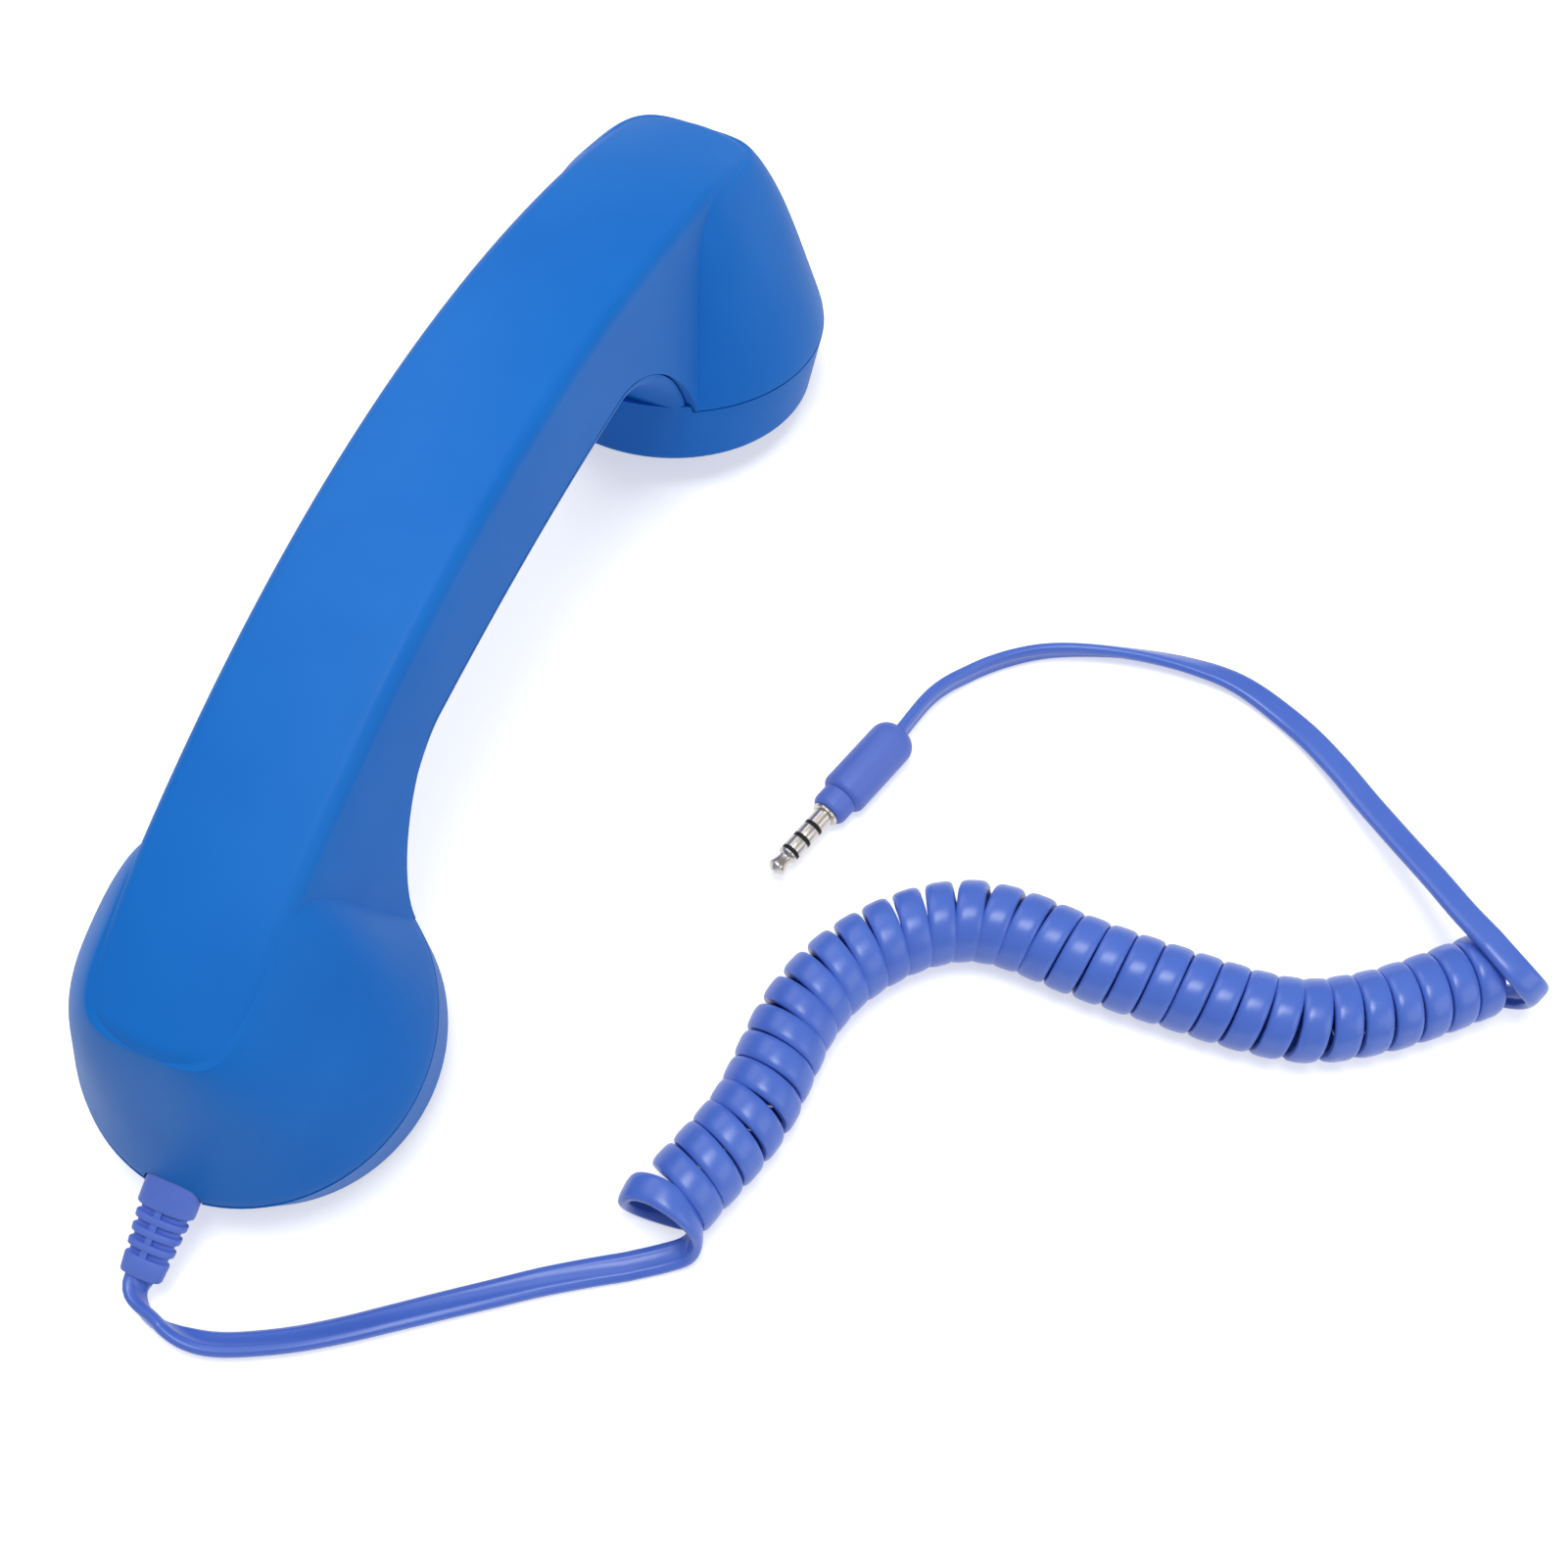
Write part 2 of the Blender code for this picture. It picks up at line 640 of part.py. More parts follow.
def dome_mesh(side, inset):
    """Loft a dome from just below the seam to just under the bar's top."""
    rings = []
    drop = CUT_REACH if inset > 0.0 else CUT_REACH * 0.5
    shift = Vector((0.0, -side * math.sin(CUP_TILT), -math.cos(CUP_TILT))) * drop
    rings.append([tuple(Vector(point) + shift) for point in dome_section(0.0, side, inset)])
    levels = DOME_HOLLOW_LEVELS if inset > 0.0 else DOME_LEVELS
    for step in range(1, levels + 1):
        share = math.sin(0.5 * math.pi * step / levels) ** 1.1
        rings.append(dome_section(share, side, inset))
    return loft("dome", rings)


def ring_mesh():
    """Turn the outer form of a cup below the seam, with a dished face."""
    slope = (SEAM_RADIUS - FACE_RADIUS) / RING_HEIGHT
    rise = RING_HEIGHT + CUT_REACH * 0.5
    profile = [(0.0, DISH_DEPTH)]
    dish = FACE_RADIUS - RIM_WIDTH - RIM_FILLET
    for share in (0.5, 1.0):
        profile.append((dish * share, DISH_DEPTH * (1.0 - share ** 3)))
    for step in range(4):
        turn = 0.5 * math.pi * step / 3.0
        radius = FACE_RADIUS - RIM_FILLET * (1.0 - math.sin(turn))
        profile.append((radius, RIM_FILLET * (1.0 - math.cos(turn))))
    profile.append((FACE_RADIUS + slope * rise, rise))
    profile.append((0.0, rise))
    return turned("ring", profile, RING_SEGMENTS)


def ring_hollow_mesh():
    """Turn the hollow of a cup above its face plate."""
    slope = (SEAM_RADIUS - FACE_RADIUS) / RING_HEIGHT
    floor = DISH_DEPTH + PLATE_THICKNESS
    rise = RING_HEIGHT + CUT_REACH
    radius = FACE_RADIUS - WALL
    profile = [
        (0.0, floor),
        (radius + slope * floor - HOLLOW_CHAMFER, floor),
        (radius + slope * floor, floor + HOLLOW_CHAMFER),
        (radius + slope * rise, rise),
        (0.0, rise),
    ]
    return turned("ring_hollow", profile, HOLLOW_SEGMENTS)


def belly_path():
    """Return (y, z, tangent) stations of the belly, run on into the two rings."""
    half = parting_half()
    low_y, low_z = half[-1]
    for run, fall in BELLY_ROOT_STEPS:
        half.append((low_y + run, low_z - fall))
    points = [(-y, z) for y, z in reversed(half[1:])] + half
    path = []
    for index, (y, z) in enumerate(points):
        before = Vector(points[max(index - 1, 0)])
        after = Vector(points[min(index + 1, len(points) - 1)])
        path.append((y, z, (after - before).normalized()))
    return path


def belly_mesh(inset):
    """Loft the rounded underside of the grip along the parting line."""
    path = belly_path()
    rise = CUT_REACH if inset > 0.0 else CUT_REACH * 0.5
    rings = []
    for index, (y, z, tangent) in enumerate(path):
        from_end = min(index, len(path) - 1 - index)
        along = min(max(abs(y) - NECK_START, 0.0) / NECK_LENGTH, 1.0) ** 2
        width_share = 1.0 - (1.0 - BELLY_NECK_WIDTH_SHARE) * along
        depth_share = 1.0 - (1.0 - BELLY_NECK_DEPTH_SHARE) * along
        if from_end < len(BELLY_ROOT_STEPS):
            width_share = BELLY_ROOT_WIDTH_SHARES[from_end]
            depth_share = BELLY_ROOT_DEPTH_SHARES[from_end]
        half = (BAR_HALF_WIDTH + BAR_DRAFT * (arch(y) - z)) * width_share - inset
        depth = BELLY_DEPTH * depth_share - inset
        down = Vector((tangent.y, -tangent.x))
        ring = []
        count = BELLY_HOLLOW_SEGMENTS if inset > 0.0 else BELLY_SEGMENTS
        for step in range(count + 1):
            turn = math.pi * step / count
            x = half * signed_power(math.cos(turn), 2.0 / BELLY_SQUARENESS)
            sink = depth * math.sin(turn) ** (2.0 / BELLY_SQUARENESS)
            ring.append((x, y + down.x * sink, z + down.y * sink))
        ring.append((-half + BAR_DRAFT * rise, y - down.x * rise, z - down.y * rise))
        ring.append((half - BAR_DRAFT * rise, y - down.x * rise, z - down.y * rise))
        rings.append(ring)
    return loft("belly", rings)


def hole_pattern_mesh(radius, pitch):
    """Return the drills of a round pattern: one in the middle and rings of six, twelve."""
    bm = bmesh.new()
    spots = [(0.0, 0.0)]
    for ring in range(1, HOLE_RINGS + 1):
        for step in range(6 * ring):
            angle = 2.0 * math.pi * (step + 0.1) / (6 * ring)
            spots.append((ring * pitch * math.cos(angle), ring * pitch * math.sin(angle)))
    depth = DISH_DEPTH + PLATE_THICKNESS + CUT_REACH
    for x, y in spots:
        bmesh.ops.create_cone(
            bm, cap_ends=True, segments=HOLE_SEGMENTS, radius1=radius, radius2=radius, depth=depth,
            matrix=Matrix.Translation((x, y, depth / 2.0 - CUT_REACH * 0.5)))
    return finish_mesh("holes", bm)


def relief_matrix():
    """Return the strain relief's frame: origin on the housing, Z along the cord."""
    reach, height = seam_centre()
    spot = Vector((
        0.0,
        -(reach + SEAM_RADIUS * math.cos(CUP_TILT)),
        height - SEAM_RADIUS * math.sin(CUP_TILT),
    ))
    along = Vector((0.0, -math.cos(RELIEF_SLOPE), -math.sin(RELIEF_SLOPE)))
    across = Vector((1.0, 0.0, 0.0))
    up = along.cross(across)
    basis = Matrix((across, up, along)).transposed().to_4x4()
    return Matrix.Translation(spot) @ basis


def oval(half_width, half_depth, level):
    """Return one oval ring across the strain relief."""
    outline = superellipse(half_width, half_depth, half_depth, RELIEF_SQUARENESS, RELIEF_SEGMENTS)
    return [(x, v, level) for x, v in outline]


def relief_hole_mesh():
    """Return the stepped opening for the strain relief's neck and head."""
    gap = FIT_GAP
    neck = (RELIEF_NECK_HALF_WIDTH + gap, RELIEF_NECK_HALF_DEPTH + gap)
    head = (RELIEF_HEAD_HALF_WIDTH + gap, RELIEF_HEAD_HALF_DEPTH + gap)
    step = -RELIEF_SINK - gap
    rings = [
        oval(*neck, -RELIEF_FLANGE_INSET - 2.0 * RELIEF_FLANGE_THICKNESS),
        oval(*neck, step),
        oval(*head, step + STEP_RUN),
        oval(*head, RELIEF_HEAD_LENGTH),
    ]
    return loft("relief_hole", rings)


def relief_taper(level):
    """Return the strain relief's half width and half depth at a distance outside."""
    share = max(level - RELIEF_HEAD_LENGTH, 0.0) / (RELIEF_LENGTH - RELIEF_HEAD_LENGTH)
    half_width = RELIEF_HEAD_HALF_WIDTH - RELIEF_SHOULDER
    half_width += (RELIEF_END_HALF_WIDTH - half_width) * share
    half_depth = RELIEF_HEAD_HALF_DEPTH - RELIEF_SHOULDER
    half_depth += (RELIEF_END_HALF_DEPTH - half_depth) * share
    return half_width, half_depth


def build_relief(material):
    """Build the ribbed strain relief with its collars, thin rings and webs."""
    inner = -RELIEF_FLANGE_INSET
    flange = (RELIEF_FLANGE_HALF_WIDTH, RELIEF_FLANGE_HALF_DEPTH)
    neck = (RELIEF_NECK_HALF_WIDTH, RELIEF_NECK_HALF_DEPTH)
    head = (RELIEF_HEAD_HALF_WIDTH, RELIEF_HEAD_HALF_DEPTH)
    rings = [
        oval(*flange, inner - RELIEF_FLANGE_THICKNESS),
        oval(*flange, inner),
        oval(*neck, inner + STEP_RUN),
        oval(*neck, -RELIEF_SINK - STEP_RUN),
        oval(*head, -RELIEF_SINK),
        oval(*head, RELIEF_HEAD_LENGTH - RELIEF_CHAMFER),
        oval(head[0] - RELIEF_CHAMFER, head[1] - RELIEF_CHAMFER, RELIEF_HEAD_LENGTH),
    ]
    start = RELIEF_HEAD_LENGTH
    stop = RELIEF_LENGTH - RELIEF_END_LENGTH
    pitch = (stop - start) / (RELIEF_RINGS + 1)
    for row in range(RELIEF_RINGS + 1):
        low = start + row * pitch
        high = low + RELIEF_GROOVE_LENGTH
        for level in (low + STEP_RUN, high - STEP_RUN):
            wide, deep = relief_taper(level)
            rings.append(oval(wide - RELIEF_GROOVE_DEPTH, deep - RELIEF_GROOVE_DEPTH, level))
        for level in (high, low + pitch):
            wide, deep = relief_taper(level)
            rings.append(oval(wide, deep, level))
    wide, deep = relief_taper(RELIEF_LENGTH)
    rings.append(oval(wide, deep, RELIEF_LENGTH - RELIEF_CHAMFER))
    rings.append(oval(wide - RELIEF_CHAMFER, deep - RELIEF_CHAMFER, RELIEF_LENGTH))
    item = place("strain_relief", loft("strain_relief", rings), matrix=relief_matrix())
    half_web = RELIEF_WEB_WIDTH / 2.0
    for face in (-1.0, 1.0):
        outline = []
        for level in (start - RELIEF_WEB_ROOT, stop + RELIEF_WEB_ROOT):
            deep = relief_taper(level)[1]
            surface = face * (deep - RELIEF_WEB_SINK)
            root = face * (deep - RELIEF_GROOVE_DEPTH - RELIEF_WEB_ROOT)
            outline.append([
                (-half_web, root, level), (half_web, root, level),
                (half_web, surface, level), (-half_web, surface, level)])
        add(item, loft("web", outline), relief_matrix())
    close_up(item, material)
    return item


def rib_mesh(name, place_y, low, high, half_width):
    """Return a thin cross rib."""
    half = RIB_THICKNESS / 2.0
    return box_mesh(name, (-half_width, place_y - half, low), (half_width, place_y + half, high))


def parting_height(y):
    """Return the height of the parting line's shallow arch."""
    return PARTING_HEIGHT - PARTING_ARCH_RATE * y * y


def belly_floor(y):
    """Return the height of the belly's inner floor on the centre line."""
    return parting_height(y) - BELLY_DEPTH + WALL


def button_levels():
    """Return the heights that stack the button, its switch and its board."""
    seat = parting_height(0.0) - BELLY_DEPTH + BUTTON_SEAT_DEPTH
    flange_low = seat + FIT_GAP
    flange_high = flange_low + BUTTON_FLANGE_THICKNESS
    plunger_low = flange_high + FIT_GAP
    switch_low = plunger_low + PLUNGER_SHOWN
    board_low = switch_low + SWITCH_HEIGHT + FIT_GAP
    return seat, flange_low, flange_high, plunger_low, switch_low, board_low


def boss_joint():
    """Return the height at which the upper and lower bosses meet."""
    return parting_height(SCREW_PLACE) + BOSS_RISE


def weight_levels():
    """Return the weight's lower and upper height, between the board and the grip's top."""
    low = button_levels()[-1] + BOARD_THICKNESS + WEIGHT_CLEARANCE
    high = arch(WEIGHT_LENGTH / 2.0) - WALL - WEIGHT_CLEARANCE
    return low, high


def build_upper_shell(material):
    """Build the grip's top with both domes, hollowed, with its bosses and ribs."""
    shell = place("upper_shell", bar_mesh(0.0))
    add(shell, gather("domes", [(dome_mesh(side, 0.0), None) for side in (-1, 1)]))
    keep(shell, half_space("above", True))
    cut(shell, bar_mesh(WALL))
    cut(shell, gather("hollows", [(dome_mesh(side, WALL), None) for side in (-1, 1)]))
    pilot = SCREW_SHANK_RADIUS + SCREW_GAP
    boss = pilot + BOSS_WALL
    low = boss_joint() + FIT_GAP
    tip = boss_joint() - BOSS_SEAT + SCREW_LENGTH - SCREW_HEAD_HEIGHT + FIT_GAP
    weight_top = weight_levels()[1]
    fittings = []
    for side in (-1, 1):
        y = side * SCREW_PLACE
        top = arch(y) - WALL + FITTING_ROOT
        profile = [(pilot, low), (boss, low), (boss, top), (0.0, top), (0.0, tip), (pilot, tip)]
        boss_mesh = turned("boss", profile, BOSS_SEGMENTS, BOSS_PHASE)
        fittings.append((boss_mesh, Matrix.Translation((0.0, y, 0.0))))
        rib = side * WEIGHT_RIB_PLACE
        top = arch(rib) - WALL + FITTING_ROOT
        fittings.append((rib_mesh("rib", rib, weight_top + FIT_GAP, top, WEIGHT_WIDTH / 2.0), None))
    cut(shell, relief_hole_mesh(), relief_matrix())
    add(shell, gather("fittings", fittings))
    close_up(shell, material)
    return shell


def build_lower_shell(material):
    """Build the belly with both cups, hollowed, with holes, sockets, posts and bosses."""
    shell = place("lower_shell", belly_mesh(0.0))
    sides = (-1, 1)
    add(shell, gather("rings", [(ring_mesh(), cup_matrix(side)) for side in sides]))
    keep(shell, half_space("below", False))
    cut(shell, belly_mesh(WALL))
    cut(shell, gather("hollows", [(ring_hollow_mesh(), cup_matrix(side)) for side in sides]))
    fittings = lower_posts() + lower_bosses() + lower_ribs()
    add(shell, gather("fittings", fittings))
    openings = [
        (hole_pattern_mesh(EAR_HOLE_RADIUS, EAR_HOLE_PITCH), cup_matrix(1)),
        (hole_pattern_mesh(MOUTH_HOLE_RADIUS, MOUTH_HOLE_PITCH), cup_matrix(-1)),
        (relief_hole_mesh(), relief_matrix()),
        (button_opening_mesh(), None),
    ]
    cut(shell, gather("openings", openings + screw_openings()))
    close_up(shell, material)
    return shell


def lower_posts():
    """Return the posts that carry the speaker clamp and the microphone's round socket."""
    plate = DISH_DEPTH + PLATE_THICKNESS
    root = plate - FITTING_ROOT
    pieces = []
    reach = CLAMP_RING_RADIUS - POST_RADIUS
    for index in range(POST_COUNT):
        angle = 2.0 * math.pi * index / POST_COUNT + math.pi / 6.0
        spot = Matrix.Translation((reach * math.cos(angle), reach * math.sin(angle), 0.0))
        post = cylinder_mesh("post", POST_RADIUS, root, clamp_level() - FIT_GAP, POST_SEGMENTS)
        pieces.append((post, cup_matrix(1) @ spot))
    inner = MIC_RADIUS + FIT_GAP + BOOT_WALL + FIT_GAP
    socket = ring_profile(inner, inner + SOCKET_WALL, root, plate + SOCKET_HEIGHT)
    pieces.append((turned("socket", socket, PART_SEGMENTS, SOCKET_PHASE), cup_matrix(-1)))
    return pieces


def lower_bosses():
    """Return the two lower bosses that stand on the belly."""
    radius = SCREW_HEAD_RADIUS + SCREW_GAP + BOSS_WALL * 0.8
    pieces = []
    for side in (-1, 1):
        y = side * SCREW_PLACE
        low = belly_floor(y) - FITTING_ROOT
        boss = cylinder_mesh("boss", radius, low, boss_joint(), PART_SEGMENTS, BOSS_PHASE)
        pieces.append((boss, Matrix.Translation((0.0, y, 0.0))))
    return pieces


def lower_ribs():
    """Return the cross ribs under the button's board and under the weight."""
    board_low = button_levels()[-1]
    rows = (
        (BOARD_RIB_PLACE, board_low - FIT_GAP, BOARD_WIDTH / 2.0 - RIB_SETBACK),
        (WEIGHT_RIB_PLACE, weight_levels()[0] - FIT_GAP, WEIGHT_WIDTH / 2.0),
    )
    pieces = []
    for place_y, high, half_width in rows:
        for side in (-1, 1):
            low = belly_floor(place_y) - FITTING_ROOT
            pieces.append((rib_mesh("rib", side * place_y, low, high, half_width), None))
    return pieces


def screw_openings():
    """Return the stepped bores of the two shell screws."""
    bore = SCREW_SHANK_RADIUS + SCREW_GAP
    head = SCREW_HEAD_RADIUS + SCREW_GAP
    seat = boss_joint() - BOSS_SEAT
    high = boss_joint() + CUT_REACH
    pieces = []
    for side in (-1, 1):
        y = side * SCREW_PLACE
        low = belly_floor(y) - WALL - CUT_REACH
        profile = [(0.0, low), (head, low), (head, seat), (bore, seat), (bore, high), (0.0, high)]
        bore_mesh = turned("bore", profile, PART_SEGMENTS, BOSS_PHASE)
        pieces.append((bore_mesh, Matrix.Translation((0.0, y, 0.0))))
    return pieces


def button_opening_mesh():
    """Return the stepped opening for the answer button and its flange."""
    seat = button_levels()[0]
    hole = BUTTON_RADIUS + BUTTON_GAP
    flange = BUTTON_RADIUS + BUTTON_FLANGE + BUTTON_GAP
    low = seat - BELLY_DEPTH
    high = seat + CUT_REACH * 0.5
    profile = [(0.0, low), (hole, low), (hole, seat), (flange, seat), (flange, high), (0.0, high)]
    return turned("button_opening", profile, BUTTON_SEGMENTS, SOCKET_PHASE)


def build_button(material):
    """Turn the answer button, its cap domed below and flanged above."""
    _, flange_low, flange_high, _, _, _ = button_levels()
    bottom = parting_height(0.0) - BELLY_DEPTH - BUTTON_PROUD
    edge = BUTTON_PROUD * 0.5
    profile = [(0.0, bottom - BUTTON_CROWN), (BUTTON_RADIUS * 0.6, bottom - BUTTON_CROWN * 0.5)]
    for step in range(4):
        turn = 0.5 * math.pi * step / 3.0
        radius = BUTTON_RADIUS - edge * (1.0 - math.sin(turn))
        profile.append((radius, bottom + edge * (1.0 - math.cos(turn))))
    profile += [
        (BUTTON_RADIUS, flange_low),
        (BUTTON_RADIUS + BUTTON_FLANGE, flange_low),
        (BUTTON_RADIUS + BUTTON_FLANGE, flange_high),
        (0.0, flange_high),
    ]
    return place("answer_button", turned("answer_button", profile, PART_SEGMENTS), material)


def build_switch(body_material, plunger_material, board_material):
    """Build the tact switch, its plunger and the board that carries it."""
    _, _, _, plunger_low, switch_low, board_low = button_levels()
    half = SWITCH_SIZE / 2.0
    body = box_mesh("body", (-half, -half, switch_low), (half, half, board_low - FIT_GAP))
    switch = place("tact_switch", body)
    bore = PLUNGER_RADIUS + FIT_GAP
    cut(switch, cylinder_mesh("bore", bore, switch_low - CUT_REACH, switch_low + SWITCH_BORE_DEPTH))
    close_up(switch, body_material)
    high = switch_low + SWITCH_BORE_DEPTH - BUTTON_TRAVEL - FIT_GAP
    place("switch_plunger", cylinder_mesh("plunger", PLUNGER_RADIUS, plunger_low, high),
          plunger_material)
    long, wide = BOARD_LENGTH / 2.0, BOARD_WIDTH / 2.0
    board = box_mesh("board", (-wide, -long, board_low), (wide, long, board_low + BOARD_THICKNESS))
    place("button_board", board, board_material)


def build_weight(material):
    """Build the bevelled steel weight in the grip."""
    long, wide = WEIGHT_LENGTH / 2.0, WEIGHT_WIDTH / 2.0
    low, high = weight_levels()
    bm = bmesh.new()
    bm.from_mesh(box_mesh("weight", (-wide, -long, low), (wide, long, high)))
    bmesh.ops.bevel(bm, geom=bm.edges, offset=WEIGHT_BEVEL, segments=1, affect="EDGES")
    place("grip_weight", finish_mesh("grip_weight", bm), material)


def build_screws(material):
    """Build the two shell screws, heads down in their counterbores."""
    seat = boss_joint() - BOSS_SEAT - FIT_GAP
    low = seat - SCREW_HEAD_HEIGHT
    tip = low + SCREW_LENGTH
    socket = SCREW_SOCKET_RADIUS
    profile = [
        (0.0, low + SCREW_SOCKET_DEPTH), (socket, low + SCREW_SOCKET_DEPTH), (socket, low),
        (SCREW_HEAD_RADIUS - SCREW_CHAMFER, low), (SCREW_HEAD_RADIUS, low + SCREW_CHAMFER),
        (SCREW_HEAD_RADIUS, seat), (SCREW_SHANK_RADIUS, seat),
        (SCREW_SHANK_RADIUS, tip - SCREW_POINT), (SCREW_SHANK_RADIUS * SCREW_TIP_SHARE, tip), (0.0, tip),
    ]
    for name, side in (("ear_shell_screw", 1), ("mouth_shell_screw", -1)):
        spot = Matrix.Translation((0.0, side * SCREW_PLACE, 0.0))
        place(name, turned(name, profile, SCREW_SEGMENTS), material, spot)


def gasket_level():
    """Return the height of the gasket's face above the cup's face plane."""
    return DISH_DEPTH + PLATE_THICKNESS + FIT_GAP


def basket_level():
    """Return the height of the speaker flange's face."""
    return gasket_level() + GASKET_THICKNESS + FIT_GAP


def clamp_level():
    """Return the height of the clamp ring's lower face."""
    return basket_level() + BASKET_FLANGE + FIT_GAP


def build_speaker(materials):
    """Build the ear speaker's gasket, basket, cone, coil, magnet system and clamp ring."""
    frame = cup_matrix(1)
    low = gasket_level()
    gasket = ring_profile(SPEAKER_RADIUS - GASKET_WIDTH, SPEAKER_RADIUS, low,
                          low + GASKET_THICKNESS)
    place("ear_gasket", turned("ear_gasket", gasket, PART_SEGMENTS), materials["foam"], frame)
    base = basket_level()
    flange = base + BASKET_FLANGE
    back = base + BASKET_HEIGHT
    throat = YOKE_RADIUS + FIT_GAP
    cone_edge = SPEAKER_RADIUS - GASKET_WIDTH
    basket = [
        (cone_edge, base), (SPEAKER_RADIUS, base), (SPEAKER_RADIUS, flange),
        (cone_edge + BASKET_WALL, flange), (cone_edge + BASKET_WALL - BASKET_LEAN, back),
        (throat, back), (throat, back - BASKET_WALL), (cone_edge - BASKET_LEAN, back - BASKET_WALL),
        (cone_edge - BASKET_LEDGE_RISE, flange), (cone_edge - BASKET_LEDGE, flange),
        (cone_edge - BASKET_LEDGE, flange - BASKET_LEDGE_RISE),
        (cone_edge, flange - BASKET_LEDGE_RISE),
    ]
    place("speaker_basket", turned("speaker_basket", basket, PART_SEGMENTS), materials["black"], frame)
    build_cone(frame, base, flange, cone_edge, materials["cone"])
    coil_low = flange + FIT_GAP
    coil = ring_profile(COIL_RADIUS - COIL_WALL, COIL_RADIUS, coil_low, coil_low + COIL_HEIGHT)
    place("voice_coil", turned("voice_coil", coil, PART_SEGMENTS), materials["copper"], frame)
    pole_low = coil_low + POLE_SETBACK
    pole = [(0.0, pole_low), (POLE_RADIUS, pole_low), (POLE_RADIUS, pole_low + POLE_THICKNESS),
            (0.0, pole_low + POLE_THICKNESS)]
    place("speaker_pole_plate", turned("pole", pole, MAGNET_SEGMENTS), materials["steel"], frame)
    magnet_low = pole_low + POLE_THICKNESS + FIT_GAP
    magnet_high = magnet_low + MAGNET_THICKNESS
    magnet = [(0.0, magnet_low), (POLE_RADIUS, magnet_low), (POLE_RADIUS, magnet_high),
              (0.0, magnet_high)]
    place("speaker_magnet", turned("magnet", magnet, MAGNET_SEGMENTS), materials["black"], frame)
    yoke_floor = magnet_high + FIT_GAP
    yoke_high = yoke_floor + YOKE_WALL
    yoke_low = yoke_high - YOKE_DEPTH
    bore = YOKE_RADIUS - YOKE_WALL
    yoke = [(bore, yoke_low), (YOKE_RADIUS, yoke_low), (YOKE_RADIUS, yoke_high),
            (0.0, yoke_high), (0.0, yoke_floor), (bore, yoke_floor)]
    place("speaker_yoke", turned("yoke", yoke, PART_SEGMENTS), materials["steel"], frame)
    clamp = clamp_level()
    ring = ring_profile(SPEAKER_RADIUS - CLAMP_OVERLAP, CLAMP_RING_RADIUS, clamp,
                        clamp + CLAMP_RING_THICKNESS)
    place("speaker_clamp", turned("speaker_clamp", ring, PART_SEGMENTS), materials["black"], frame)


def ring_profile(inner, outer, low, high):
    """Return the rectangular section of a flat ring."""
    return [(inner, low), (outer, low), (outer, high), (inner, high)]


def build_cone(frame, base, flange, cone_edge, material):
    """Turn the thin cone with its domed middle."""
    edge = cone_edge - FIT_GAP
    low = base + CONE_SURROUND
    lower = [
        (edge, low), (edge * CONE_ROLL_SHARE, low - CONE_SURROUND * 0.5),
        (COIL_RADIUS, flange - CONE_THICKNESS - CONE_SURROUND), (COIL_RADIUS * CONE_DOME_SHARE, low),
        (0.0, base),
    ]
    upper = [(radius, height + CONE_THICKNESS) for radius, height in reversed(lower)]
    place("speaker_cone", turned("cone", lower + upper, PART_SEGMENTS), material, frame)


def build_microphone(materials):
    """Build the microphone capsule and its rubber boot."""
    frame = cup_matrix(-1)
    low = DISH_DEPTH + PLATE_THICKNESS + FIT_GAP
    bore = MIC_RADIUS + FIT_GAP
    outer = bore + BOOT_WALL
    floor = low + BOOT_FLOOR
    boot = [
        (BOOT_HOLE_RADIUS, low), (outer, low), (outer, low + BOOT_HEIGHT),
        (bore, low + BOOT_HEIGHT), (bore, floor), (BOOT_HOLE_RADIUS, floor),
    ]
    place("mic_boot", turned("mic_boot", boot, PART_SEGMENTS), materials["foam"], frame)
    mic_low = floor + FIT_GAP
    mic = [(0.0, mic_low), (MIC_RADIUS, mic_low), (MIC_RADIUS, mic_low + MIC_HEIGHT),
           (0.0, mic_low + MIC_HEIGHT)]
    place("mic_capsule", turned("mic_capsule", mic, MAGNET_SEGMENTS), materials["nickel"], frame)


def smooth_points(route, count):
    """Return evenly spaced points of a smooth curve through a route's points."""
    nodes = [Vector(point) for point in route]
    nodes = [nodes[0] * 2.0 - nodes[1]] + nodes + [nodes[-1] * 2.0 - nodes[-2]]
    fine = []
    for index in range(1, len(nodes) - 2):
        a, b, c, d = nodes[index - 1:index + 3]
        for step in range(16):
            t = step / 16.0
            fine.append(0.5 * ((2.0 * b) + (c - a) * t + (2.0 * a - 5.0 * b + 4.0 * c - d) * t ** 2
                               + (3.0 * b - a - 3.0 * c + d) * t ** 3))
    fine.append(nodes[-2])
    lengths = [0.0]
    for before, after in zip(fine, fine[1:]):
        lengths.append(lengths[-1] + (after - before).length)
    points = []
    cursor = 0
    for step in range(count):
        target = lengths[-1] * step / (count - 1)
        while cursor < len(lengths) - 2 and lengths[cursor + 1] < target:
            cursor += 1
        span = lengths[cursor + 1] - lengths[cursor]
        share = (target - lengths[cursor]) / span
        points.append(fine[cursor].lerp(fine[cursor + 1], share))
    return points


def tube(name, points, radius, resolution, material):
    """Sweep a round tube along points, with filled ends."""
    data = bpy.data.curves.new(name, "CURVE")
    data.dimensions = "3D"
    spline = data.splines.new("POLY")
    spline.points.add(len(points) - 1)
    for slot, point in zip(spline.points, points):
        slot.co = (*point, 1.0)
    data.bevel_depth = radius
    data.bevel_resolution = resolution
    data.use_fill_caps = True
    data.materials.append(material)
    item = bpy.data.objects.new(name, data)
    bpy.context.scene.collection.objects.link(item)
    return item


